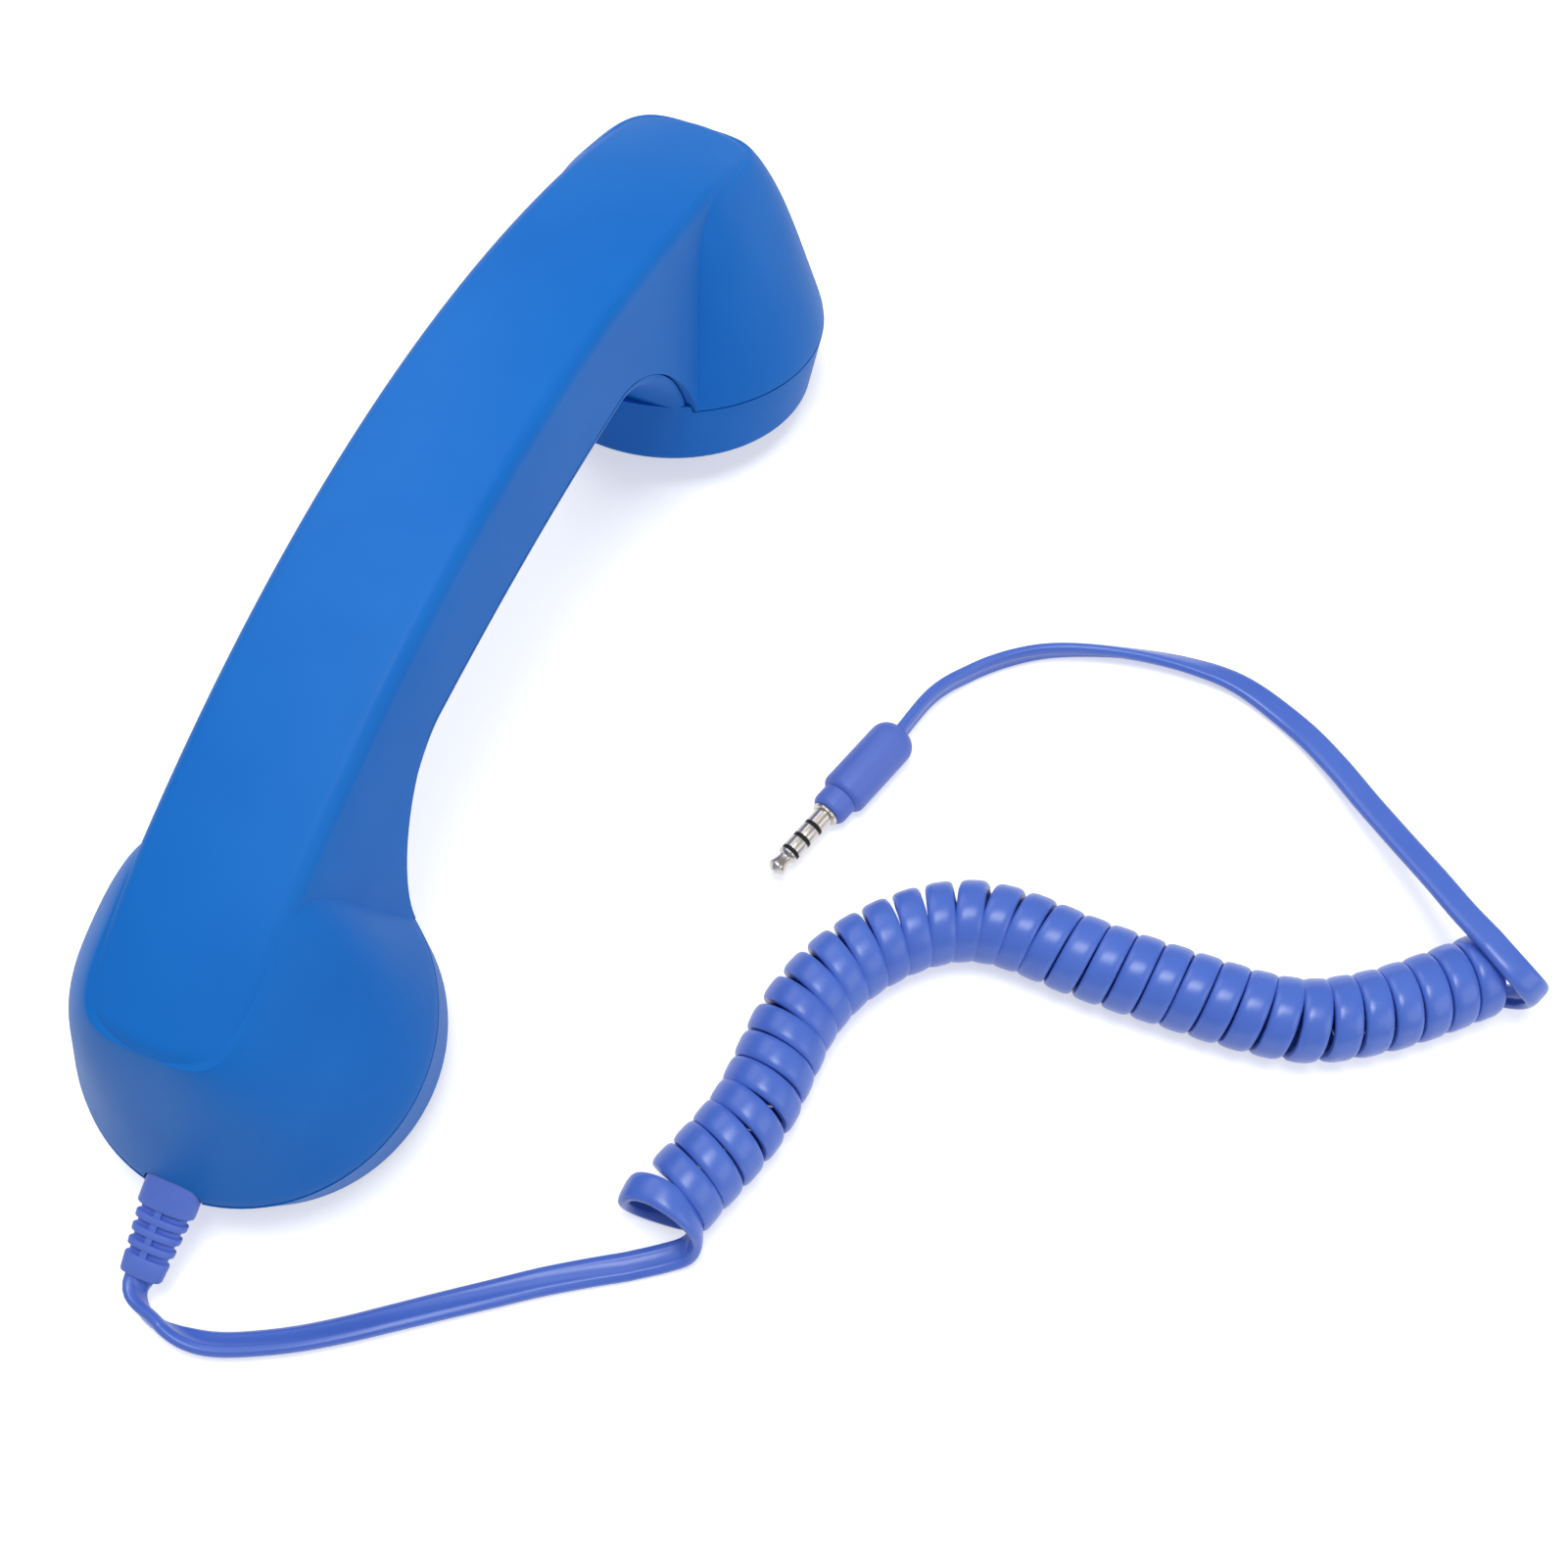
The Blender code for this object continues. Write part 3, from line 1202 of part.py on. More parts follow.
def build_cord(material):
    """Lay the lead, the curly length as one fat tube, and the lead to the plug."""
    exits = [RELIEF_LENGTH + FIT_GAP + step for step in (0.0, CORD_TUBE_RADIUS)]
    lead = [relief_matrix() @ Vector((0.0, 0.0, step)) for step in exits]
    for offset in LEAD_BEND:
        spot = lead[0] + Vector(offset)
        spot.z = max(spot.z, CORD_TUBE_RADIUS)
        lead.append(spot)
    lead += list(LEAD_ROUTE)
    tube("cord_lead", smooth_points(lead, LEAD_POINTS), CORD_TUBE_RADIUS, 2, material)
    axis = [(x, y, COIL_TUBE_RADIUS + FLOOR_GAP) for x, y in COIL_ROUTE]
    tube("cord_coil", smooth_points(axis, COIL_POINTS), COIL_TUBE_RADIUS, 3, material)
    along = (PLUG_POINTS_TO - PLUG_REAR).normalized()
    stop = PLUG_REAR - along * (FIT_GAP * 2.0)
    plug_lead = list(PLUG_LEAD_ROUTE) + [tuple(stop)]
    tube("cord_plug_lead", smooth_points(plug_lead, PLUG_LEAD_POINTS), CORD_TUBE_RADIUS, 2,
         material)


def cup_spot(side, across, along, up):
    """Return a point in a cup, from shares of its seam radius and of its ring height."""
    local = Vector((across * SEAM_RADIUS, along * SEAM_RADIUS, up * RING_HEIGHT))
    return cup_matrix(side) @ local


def grip_spot(across, y, drop):
    """Return a point in the grip, a share of the bar's depth below its top line."""
    return Vector((across, y, arch(y) - drop * BAR_DEPTH))


def build_inner_leads(materials):
    """Run the speaker's and the microphone's thin leads inside the housing."""
    start = relief_matrix() @ Vector((0.0, 0.0, -RELIEF_FLANGE_INSET - 2.0 * RELIEF_FLANGE_THICKNESS))
    spread = Vector((INNER_LEAD_SPREAD, 0.0, 0.0))
    inwards = Vector((0.0, INNER_LEAD_RADIUS, 0.0))
    beside = WEIGHT_WIDTH / 2.0 + 2.0 * INNER_LEAD_RADIUS
    under = weight_levels()[0] - 2.0 * INNER_LEAD_RADIUS
    back = basket_level() + BASKET_HEIGHT + INNER_LEAD_RADIUS + FIT_GAP
    terminal = 0.5 * (YOKE_RADIUS + SPEAKER_RADIUS - GASKET_WIDTH)
    rise = NECK_REACH + NECK_INSET
    speaker = [
        start + spread + inwards, cup_spot(-1, 0.21, -0.54, 1.32), cup_spot(-1, 0.34, 0.07, 1.42),
        cup_spot(-1, 0.36, 0.56, 1.90), grip_spot(beside, -rise, 1.12),
        grip_spot(beside, -rise + NECK_LENGTH * 0.6, 0.68), Vector((beside, -SCREW_PLACE, under)),
        Vector((beside, 0.0, under)), Vector((beside, SCREW_PLACE, under)),
        grip_spot(beside, rise - NECK_LENGTH * 0.6, 0.68), grip_spot(beside, rise, 1.12),
        cup_spot(1, 0.40, -0.45, 1.85), cup_spot(1, 0.46, -0.22, 1.35),
        cup_matrix(1) @ Vector((terminal, 0.0, back)),
    ]
    points = smooth_points(speaker, INNER_LEAD_POINTS)
    tube("speaker_lead", points, INNER_LEAD_RADIUS, 2, materials["wire"])
    mic_top = DISH_DEPTH + PLATE_THICKNESS + BOOT_FLOOR + MIC_HEIGHT + 3.0 * FIT_GAP
    mic_end = cup_matrix(-1) @ Vector((0.0, 0.0, mic_top + INNER_LEAD_RADIUS * 0.5))
    above = cup_matrix(-1) @ Vector((0.0, 0.0, mic_top + 2.0 * INNER_LEAD_SPREAD))
    mic = [
        start - spread + inwards, cup_spot(-1, -0.14, -0.54, 1.24), cup_spot(-1, -0.14, -0.20, 1.22),
        above, mic_end,
    ]
    tube("mic_lead", smooth_points(mic, MIC_LEAD_POINTS), INNER_LEAD_RADIUS, 2, materials["wire"])


def plug_matrix():
    """Return the plug's frame: origin at its rear, Z towards its tip."""
    along = (PLUG_POINTS_TO - PLUG_REAR).normalized()
    turn = along.to_track_quat("Z", "X").to_matrix().to_4x4()
    return Matrix.Translation(PLUG_REAR) @ turn


def build_plug(materials):
    """Turn the plug's body, its collar and the four contacts with their insulators."""
    frame = plug_matrix()
    round_off = PLUG_SHOULDER_RADIUS
    body = [(0.0, 0.0)]
    for step in range(5):
        turn = 0.5 * math.pi * step / 4.0
        body.append((PLUG_RADIUS - round_off * (1.0 - math.sin(turn)),
                     round_off * (1.0 - math.cos(turn))))
    for step in range(5):
        turn = 0.5 * math.pi * step / 4.0
        body.append((PLUG_RADIUS - round_off * (1.0 - math.cos(turn)),
                     PLUG_BODY_LENGTH - round_off * (1.0 - math.sin(turn))))
    body.append((0.0, PLUG_BODY_LENGTH))
    place("plug_body", turned("plug_body", body, PLUG_SEGMENTS), materials["cord"], frame)
    low = PLUG_BODY_LENGTH + FIT_GAP
    high = low + COLLAR_LENGTH
    collar = [
        (0.0, low), (COLLAR_RADIUS, low), (COLLAR_RADIUS, high - COLLAR_NOSE),
        (COLLAR_RADIUS - COLLAR_NOSE * 0.3, high - COLLAR_NOSE * 0.3),
        (COLLAR_RADIUS - COLLAR_NOSE * 0.7, high), (0.0, high),
    ]
    place("plug_collar", turned("plug_collar", collar, PLUG_SEGMENTS), materials["cord"], frame)
    build_contacts(frame, high + FIT_GAP, materials)


def build_contacts(frame, base, materials):
    """Stack the pin's contacts and insulators from its base to its tip."""
    names = ("plug_sleeve", "plug_ring_rear", "plug_ring_front")
    low = base
    for index, band in enumerate(PIN_BANDS):
        stop = base + band - FIT_GAP
        if index == 0:
            profile = [(0.0, low), (PIN_FLANGE_RADIUS, low),
                       (PIN_FLANGE_RADIUS, low + PIN_FLANGE_LENGTH),
                       (PIN_RADIUS, low + PIN_FLANGE_LENGTH), (PIN_RADIUS, stop), (0.0, stop)]
        else:
            profile = [(0.0, low), (PIN_RADIUS, low), (PIN_RADIUS, stop), (0.0, stop)]
        name = names[index]
        place(name, turned(name, profile, PLUG_SEGMENTS), materials["nickel"], frame)
        ring_low = stop + FIT_GAP
        ring_high = ring_low + PIN_BAND_LENGTH
        band_name = "plug_insulator_%d" % (index + 1)
        profile = [(0.0, ring_low), (PIN_RADIUS, ring_low), (PIN_RADIUS, ring_high),
                   (0.0, ring_high)]
        place(band_name, turned(band_name, profile, PLUG_SEGMENTS), materials["black"], frame)
        low = ring_high + FIT_GAP
    tip = base + PIN_LENGTH
    profile = [
        (0.0, low), (PIN_RADIUS, low), (PIN_RADIUS, low + TIP_LAND),
        (TIP_NECK_RADIUS, low + TIP_LAND + TIP_SLOPE),
        (TIP_NECK_RADIUS, low + 2.0 * TIP_LAND + TIP_SLOPE),
        (PIN_RADIUS, low + 2.0 * (TIP_LAND + TIP_SLOPE)), (PIN_RADIUS * 0.93, tip - TIP_SLOPE),
        (PIN_RADIUS * 0.55, tip - TIP_LAND * 0.5), (0.0, tip),
    ]
    place("plug_tip", turned("plug_tip", profile, PLUG_SEGMENTS), materials["nickel"], frame)


def build_materials():
    """Return the finishes of all pieces."""
    return {
        "shell": make_material("satin_shell", BLUE_SHELL, 0.42),
        "cord": make_material("cord_skin", BLUE_CORD, 0.45),
        "rubber": make_material("relief_rubber", BLUE_RUBBER, 0.55),
        "nickel": make_material("plug_nickel", NICKEL, 0.25, 1.0),
        "black": make_material("black_parts", BLACK_PLASTIC, 0.5),
        "steel": make_material("zinced_steel", STEEL, 0.4, 1.0),
        "board": make_material("board", BOARD_GREEN, 0.5),
        "foam": make_material("soft_foam", FOAM_GREY, 0.9),
        "cone": make_material("cone_film", CONE_CLEAR, 0.4),
        "copper": make_material("coil_wire", COPPER, 0.35, 1.0),
        "wire": make_material("lead_skin", BLACK_PLASTIC, 0.45),
    }


def main():
    """Build every piece of the handset."""
    clear_scene()
    materials = build_materials()
    build_upper_shell(materials["shell"])
    build_lower_shell(materials["shell"])
    build_button(materials["shell"])
    build_switch(materials["black"], materials["cone"], materials["board"])
    build_weight(materials["steel"])
    build_screws(materials["steel"])
    build_speaker(materials)
    build_microphone(materials)
    build_inner_leads(materials)
    build_relief(materials["rubber"])
    build_cord(materials["cord"])
    build_plug(materials)


main()
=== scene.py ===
"""Looks of a blue telephone handset with a curly flat cord and a four-contact plug.

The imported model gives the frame. The housing's shells, the strain relief, the button, the
screws, the plug and the cord are made again here as fine meshes in the same places. The
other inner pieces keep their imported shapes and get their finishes. All sizes are in metres.
"""

import json
import logging
import math
from dataclasses import dataclass, field
from enum import Enum
from typing import Callable, Dict, Iterable, List, Sequence, Tuple

import bmesh
import bpy
from mathutils import Matrix, Vector


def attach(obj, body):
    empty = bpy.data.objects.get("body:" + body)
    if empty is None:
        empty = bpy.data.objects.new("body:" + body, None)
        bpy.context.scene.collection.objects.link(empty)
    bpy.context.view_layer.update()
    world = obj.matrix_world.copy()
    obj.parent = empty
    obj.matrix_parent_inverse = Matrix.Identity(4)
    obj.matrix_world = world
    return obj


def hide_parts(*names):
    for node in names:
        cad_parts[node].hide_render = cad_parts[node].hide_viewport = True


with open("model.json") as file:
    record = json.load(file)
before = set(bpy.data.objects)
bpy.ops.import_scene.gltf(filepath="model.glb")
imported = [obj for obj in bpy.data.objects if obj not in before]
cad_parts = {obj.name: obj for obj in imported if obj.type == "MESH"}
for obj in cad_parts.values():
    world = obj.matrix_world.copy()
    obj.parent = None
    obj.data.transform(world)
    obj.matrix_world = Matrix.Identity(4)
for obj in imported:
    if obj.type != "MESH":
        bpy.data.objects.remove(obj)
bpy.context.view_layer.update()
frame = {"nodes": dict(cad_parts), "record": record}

LOG = logging.getLogger("handset")

Point = Tuple[float, float, float]
Flat = Tuple[float, float]
Colour = Tuple[float, float, float]
Part = bpy.types.Object
Mesh = bpy.types.Mesh
Socket = bpy.types.NodeSocket

DISPLAY_TOP = 255.0
DISPLAY_KNEE = 0.04045
DISPLAY_SLOPE = 12.92
DISPLAY_OFFSET = 0.055
DISPLAY_POWER = 2.4


class Body(Enum):
    """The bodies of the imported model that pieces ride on."""

    HANDSET = "handset"
    BUTTON = "button"


class Slot(Enum):
    """The record's finishes that new pieces are made of."""

    SHELL = "shell_blue"
    CORD = "cord_blue"
    RELIEF = "relief_blue"
    PLUG = "plug_blue"
    METAL = "plug_metal"
    BAND = "insulator_black"
    STEEL = "steel"


class Operation(Enum):
    """Ways in which two closed shapes are combined."""

    JOIN = "UNION"
    CUT = "DIFFERENCE"
    KEEP = "INTERSECT"


class End(Enum):
    """The two ends of the handset, by their side of the middle."""

    MOUTH = -1
    EAR = 1


class Side(Enum):
    """The two sides of the parting line."""

    ABOVE = 1.0
    BELOW = -1.0


class Facing(Enum):
    """Which side of the flat cord shows on top where it lies level."""

    RIDGED = 1.0
    SMOOTH = -1.0


def linear(red: int, green: int, blue: int) -> Colour:
    """Turn a display colour into linear light.

    Args:
        red: Display red, 0 to 255.
        green: Display green, 0 to 255.
        blue: Display blue, 0 to 255.

    Returns:
        The colour in linear light.
    """
    values = []
    for channel in (red, green, blue):
        share = channel / DISPLAY_TOP
        low = share / DISPLAY_SLOPE
        high = ((share + DISPLAY_OFFSET) / (1.0 + DISPLAY_OFFSET)) ** DISPLAY_POWER
        values.append(low if share <= DISPLAY_KNEE else high)
    return values[0], values[1], values[2]


class NodeBench:
    """A small helper that lays and links shader nodes of one material."""

    def __init__(self, name: str) -> None:
        """Start an empty material with an output node."""
        self.material = bpy.data.materials.new(name)
        self.material.use_nodes = True
        self.tree = self.material.node_tree
        self.tree.nodes.clear()
        self.output = self.tree.nodes.new("ShaderNodeOutputMaterial")

    def node(self, kind: str, **values: object) -> bpy.types.Node:
        """Add a node and set its sockets or properties.

        Args:
            kind: The node's class name.
            values: Socket names with spaces as underscores, or property names.

        Returns:
            The new node.
        """
        item = self.tree.nodes.new(kind)
        for key, value in values.items():
            label = key.replace("_", " ")
            if label in item.inputs:
                item.inputs[label].default_value = value
            else:
                setattr(item, key, value)
        return item

    def link(self, source: Socket, target: Socket) -> None:
        """Join two sockets."""
        self.tree.links.new(source, target)

    def noise(self, place: Socket, scale: float, layers: Flat) -> Socket:
        """Add a noise that follows a coordinate.

        Args:
            place: The coordinate.
            scale: How many of its waves fit into a metre.
            layers: Number and strength of the finer layers.

        Returns:
            The socket with the noise, 0 to 1.
        """
        item = self.node("ShaderNodeTexNoise", Scale=scale, Detail=layers[0],
                         Roughness=layers[1])
        self.link(place, item.inputs["Vector"])
        return item.outputs["Fac"]

    def spread(self, source: Socket, reads: Flat, gives: Flat) -> Socket:
        """Spread a value's range over another range.

        Args:
            source: The value's socket.
            reads: The range in which it is read.
            gives: The range over which it is spread.

        Returns:
            The socket with the result.
        """
        item = self.node("ShaderNodeMapRange", From_Min=reads[0], From_Max=reads[1],
                         To_Min=gives[0], To_Max=gives[1])
        self.link(source, item.inputs["Value"])
        return item.outputs["Result"]

    def bump(self, height: Socket, strength: float, depth: float) -> Socket:
        """Add a bump from a height.

        Args:
            height: The socket with the height, 0 to 1.
            strength: How strongly the bump shows.
            depth: The height of 1, in metres.

        Returns:
            The socket with the bumped normal.
        """
        item = self.node("ShaderNodeBump", Strength=strength, Distance=depth)
        self.link(height, item.inputs["Height"])
        return item.outputs["Normal"]


@dataclass(frozen=True)
class Finish:
    """A moulded or coated surface with a fine grain and slight shade changes.

    Attributes:
        name: The material's name.
        colour: Main colour in linear light.
        second: The colour that the shade drifts to.
        roughness: Mean roughness.
        spread: How far the roughness varies to each side.
        grain: Size of the fine surface grain.
        depth: Height of the grain.
        grain_strength: How strongly the grain shows.
        drift: Size of the slow shade changes.
        rub: How fast the roughness varies, as a share of the shade changes.
        metallic: 1 for bare metal.
        specular: Strength of the reflection of a non-metal.
        coat: Weight of a clear coat.
        coat_roughness: Roughness of that coat.
        shade_range: Where in the noise the shade turns from one colour to the other.
        rub_range: Where in the noise the roughness varies.
        grain_layers: Number and strength of the grain's finer layers.
        drift_layers: The same for the shade changes.
        rub_layers: The same for the roughness.
    """

    name: str
    colour: Colour
    second: Colour
    roughness: float = 0.45
    spread: float = 0.05
    grain: float = 0.00035
    depth: float = 0.000015
    grain_strength: float = 0.6
    drift: float = 0.020
    rub: float = 0.35
    metallic: float = 0.0
    specular: float = 0.5
    coat: float = 0.0
    coat_roughness: float = 0.25
    shade_range: Flat = (0.30, 0.75)
    rub_range: Flat = (0.25, 0.75)
    grain_layers: Flat = (3.0, 0.6)
    drift_layers: Flat = (2.0, 0.5)
    rub_layers: Flat = (5.0, 0.65)

    def shader(self, bench: NodeBench) -> bpy.types.Node:
        """Return the main shader with its constants set on its own sockets."""
        return bench.node(
            "ShaderNodeBsdfPrincipled", Metallic=self.metallic, Specular_IOR_Level=self.specular,
            Coat_Weight=self.coat, Coat_Roughness=self.coat_roughness)

    def relief(self, bench: NodeBench, place: Socket) -> Socket:
        """Lay the fine grain.

        Args:
            bench: The material's bench.
            place: The coordinate that the grain follows.

        Returns:
            The socket with the bumped normal.
        """
        grain = bench.noise(place, 1.0 / self.grain, self.grain_layers)
        return bench.bump(grain, self.grain_strength, self.depth)

    def build(self) -> bpy.types.Material:
        """Build the material.

        Returns:
            The finished material.
        """
        bench = NodeBench(self.name)
        shader = self.shader(bench)
        place = bench.node("ShaderNodeTexCoord").outputs["Object"]
        drift = bench.noise(place, 1.0 / self.drift, self.drift_layers)
        shade = bench.node("ShaderNodeValToRGB")
        stops = shade.color_ramp.elements
        for stop, position, colour in zip(stops, self.shade_range, (self.colour, self.second)):
            stop.position = position
            stop.color = (*colour, 1.0)
        bench.link(drift, shade.inputs["Fac"])
        bench.link(shade.outputs["Color"], shader.inputs["Base Color"])
        rub = bench.noise(place, self.rub / self.drift, self.rub_layers)
        limits = (self.roughness - self.spread, self.roughness + self.spread)
        bench.link(bench.spread(rub, self.rub_range, limits), shader.inputs["Roughness"])
        bench.link(self.relief(bench, place), shader.inputs["Normal"])
        bench.link(shader.outputs["BSDF"], bench.output.inputs["Surface"])
        return bench.material


@dataclass(frozen=True)
class WoundFinish(Finish):
    """A finish whose relief runs in fine lines, as on turned metal or wound wire.

    Attributes:
        line_scale: The scale of the wave that draws the lines.
        line_strength: How strongly the lines show.
        line_waver: How far the lines stray from straight ones.
    """

    line_scale: float = 0.16 / 0.00012
    line_strength: float = 0.35
    line_waver: float = 0.4

    def relief(self, bench: NodeBench, place: Socket) -> Socket:
        """Lay the fine lines.

        Args:
            bench: The material's bench.
            place: The coordinate that the lines follow.

        Returns:
            The socket with the bumped normal.
        """
        waves = bench.node("ShaderNodeTexWave", Scale=self.line_scale,
                           Distortion=self.line_waver, bands_direction="Y")
        bench.link(place, waves.inputs["Vector"])
        return bench.bump(waves.outputs["Fac"], self.line_strength, self.depth)


class FinishStore:
    """Builds each finish once and hands it out by name."""

    def __init__(self) -> None:
        """Describe all finishes."""
        self.made: Dict[str, bpy.types.Material] = {}
        self.plans: Dict[str, Finish] = {
            plan.name: plan
            for plan in (
                Finish("shell_blue", linear(18, 110, 200), linear(22, 115, 205), roughness=0.50,
                       grain=0.00028, depth=0.000012, specular=0.16),
                Finish("cord_blue", linear(78, 112, 206), linear(84, 119, 212), roughness=0.30,
                       grain=0.0005, depth=0.000008, drift=0.012, specular=0.50),
                Finish("relief_blue", linear(88, 118, 210), linear(94, 124, 214), roughness=0.50,
                       grain=0.0004, depth=0.000015, drift=0.006),
                Finish("plug_blue", linear(86, 114, 204), linear(92, 120, 210), roughness=0.46,
                       grain=0.0004, depth=0.000012, drift=0.008),
                WoundFinish("plug_metal", (0.58, 0.53, 0.47), (0.66, 0.61, 0.55), roughness=0.32,
                            spread=0.06, depth=0.000004, metallic=1.0),
                Finish("insulator_black", (0.010, 0.010, 0.011), (0.018, 0.018, 0.020),
                       roughness=0.4, specular=0.2),
                Finish("black_plastic", (0.020, 0.020, 0.022), (0.030, 0.030, 0.033),
                       roughness=0.5),
                WoundFinish("steel", (0.52, 0.53, 0.55), (0.60, 0.61, 0.63), roughness=0.34,
                            spread=0.08, depth=0.000005, metallic=1.0),
                Finish("magnet", (0.060, 0.060, 0.066), (0.10, 0.10, 0.11), roughness=0.55,
                       spread=0.10, metallic=0.6),
                WoundFinish("copper_wire", (0.62, 0.27, 0.11), (0.70, 0.33, 0.15), roughness=0.3,
                            depth=0.00002, metallic=1.0),
                Finish("board_green", (0.010, 0.085, 0.035), (0.016, 0.110, 0.048), roughness=0.4,
                       grain=0.0008, coat=0.3),
                Finish("foam_black", (0.012, 0.012, 0.014), (0.026, 0.026, 0.029), roughness=0.9,
                       grain=0.0006, depth=0.00008, specular=0.2),
                Finish("cone_film", (0.50, 0.46, 0.36), (0.56, 0.52, 0.42), roughness=0.45,
                       grain=0.0006),
                Finish("lead_skin", (0.016, 0.016, 0.018), (0.022, 0.022, 0.025), roughness=0.45),
            )
        }

    def get(self, name: str) -> bpy.types.Material:
        """Return a finish's material, building it at first use.

        Args:
            name: The finish's name, which is a slot of the record.

        Returns:
            The material.
        """
        if name not in self.made:
            self.made[name] = self.plans[name].build()
        return self.made[name]


def link_mesh(name: str, mesh: Mesh) -> Part:
    """Put a mesh into the scene.

    Args:
        name: The object's name.
        mesh: Its mesh.

    Returns:
        The new object.
    """
    item = bpy.data.objects.new(name, mesh)
    bpy.context.scene.collection.objects.link(item)
    return item


def close_mesh(name: str, bm: bmesh.types.BMesh) -> Mesh:
    """Triangulate large caps, turn faces outwards and return the mesh.

    Args:
        name: The mesh's name.
        bm: The shape, which is freed.

    Returns:
        The mesh.
    """
    bm.normal_update()
    caps = [face for face in bm.faces if len(face.verts) > 4]
    bmesh.ops.triangulate(bm, faces=caps)
    bmesh.ops.recalc_face_normals(bm, faces=bm.faces)
    mesh = bpy.data.meshes.new(name)
    bm.to_mesh(mesh)
    bm.free()
    return mesh


def loft(name: str, rings: Sequence[Sequence[Point]]) -> Mesh:
    """Skin a row of closed rings of equal point counts and cap both ends.

    Args:
        name: The mesh's name.
        rings: The rings, in order.

    Returns:
        A closed mesh.
    """
    bm = bmesh.new()
    rows = [[bm.verts.new(point) for point in ring] for ring in rings]
    for low, high in zip(rows, rows[1:]):
        for index, vertex in enumerate(low):
            after = (index + 1) % len(low)
            bm.faces.new((vertex, low[after], high[after], high[index]))
    bm.faces.new(rows[0])
    bm.faces.new(list(reversed(rows[-1])))
    return close_mesh(name, bm)


def turned(name: str, profile: Sequence[Flat], segments: int, phase: float = 0.0) -> Mesh:
    """Turn a profile of (radius, height) points about Z.

    Args:
        name: The mesh's name.
        profile: The outline, from the rim of one flat end to the rim of the other.
        segments: Steps round the axis.
        phase: Angle of the first step.

    Returns:
        A closed mesh.
    """
    bm = bmesh.new()
    columns = []
    for step in range(segments):
        angle = 2.0 * math.pi * step / segments + phase
        cosine, sine = math.cos(angle), math.sin(angle)
        columns.append([bm.verts.new((radius * cosine, radius * sine, height))
                        for radius, height in profile])
    for here, there in zip(columns, columns[1:] + columns[:1]):
        for index in range(len(profile) - 1):
            bm.faces.new((here[index], here[index + 1], there[index + 1], there[index]))
    bm.faces.new([column[0] for column in columns])
    bm.faces.new([column[-1] for column in reversed(columns)])
    return close_mesh(name, bm)


def quarter(steps: int) -> List[Flat]:
    """Return the sine and the cosine at even steps of a quarter turn, both ends included."""
    turns = [0.5 * math.pi * step / steps for step in range(steps + 1)]
    return [(math.sin(turn), math.cos(turn)) for turn in turns]


def low_edge(radius: float, level: float, bite: Flat, steps: int) -> List[Flat]:
    """Return a profile's rounded edge between a low end and a side.

    Args:
        radius: Radius of the side.
        level: Height of the end.
        bite: How far the edge is taken back across the end and along the side.
        steps: Number of its steps.

    Returns:
        The edge's points, from the end out to the side.
    """
    across, along = bite
    return [(radius - across * (1.0 - sine), level + along * (1.0 - cosine))
            for sine, cosine in quarter(steps)]


def high_edge(radius: float, level: float, bite: Flat, steps: int) -> List[Flat]:
    """Return a profile's rounded edge between a side and a high end.

    Args:
        radius: Radius of the side.
        level: Height of the end.
        bite: How far the edge is taken back across the end and along the side.
        steps: Number of its steps.

    Returns:
        The edge's points, from the side in to the end.
    """
    across, along = bite
    return [(radius - across * (1.0 - cosine), level - along * (1.0 - sine))
            for sine, cosine in quarter(steps)]


def course(points: Sequence[Vector], index: int) -> Vector:
    """Return a line's direction at one of its points, from the points beside it."""
    before = points[max(index - 1, 0)]
    after = points[min(index + 1, len(points) - 1)]
    return (after - before).normalized()


def square_to(direction: Vector, tangent: Vector) -> Vector:
    """Return a direction turned square to a line's own direction."""
    return (direction - tangent * direction.dot(tangent)).normalized()


def eased(share: float) -> float:
    """Return a share from 0 to 1 with a soft start and a soft end."""
    return share * share * (3.0 - 2.0 * share)


def placed(mesh: Mesh, matrix: Matrix) -> Mesh:
    """Move a mesh by a matrix and return it."""
    mesh.transform(matrix)
    return mesh


def gather(name: str, meshes: Iterable[Mesh]) -> Mesh:
    """Join separate closed shapes into one mesh.

    Args:
        name: The mesh's name.
        meshes: The shapes, in place.

    Returns:
        One mesh that holds them all.
    """
    bm = bmesh.new()
    for mesh in meshes:
        bm.from_mesh(mesh)
    joined = bpy.data.meshes.new(name)
    bm.to_mesh(joined)
    bm.free()
    return joined


def combine(target: Part, mesh: Mesh, operation: Operation) -> None:
    """Apply one exact Boolean to the target.

    Args:
        target: The object that changes.
        mesh: The other shape, in the same frame.
        operation: How the two are combined.
    """
    other = link_mesh("other_shape", mesh)
    modifier = target.modifiers.new("combine", "BOOLEAN")
    modifier.operation = operation.value
    modifier.solver = "EXACT"
    modifier.object = other
    bpy.context.view_layer.update()
    graph = bpy.context.evaluated_depsgraph_get()
    result = bpy.data.meshes.new_from_object(target.evaluated_get(graph))
    target.modifiers.clear()
    target.data = result
    bpy.data.objects.remove(other, do_unlink=True)


def signed_power(value: float, power: float) -> float:
    """Raise the size of a number to a power and keep its sign."""
    return math.copysign(abs(value) ** power, value)


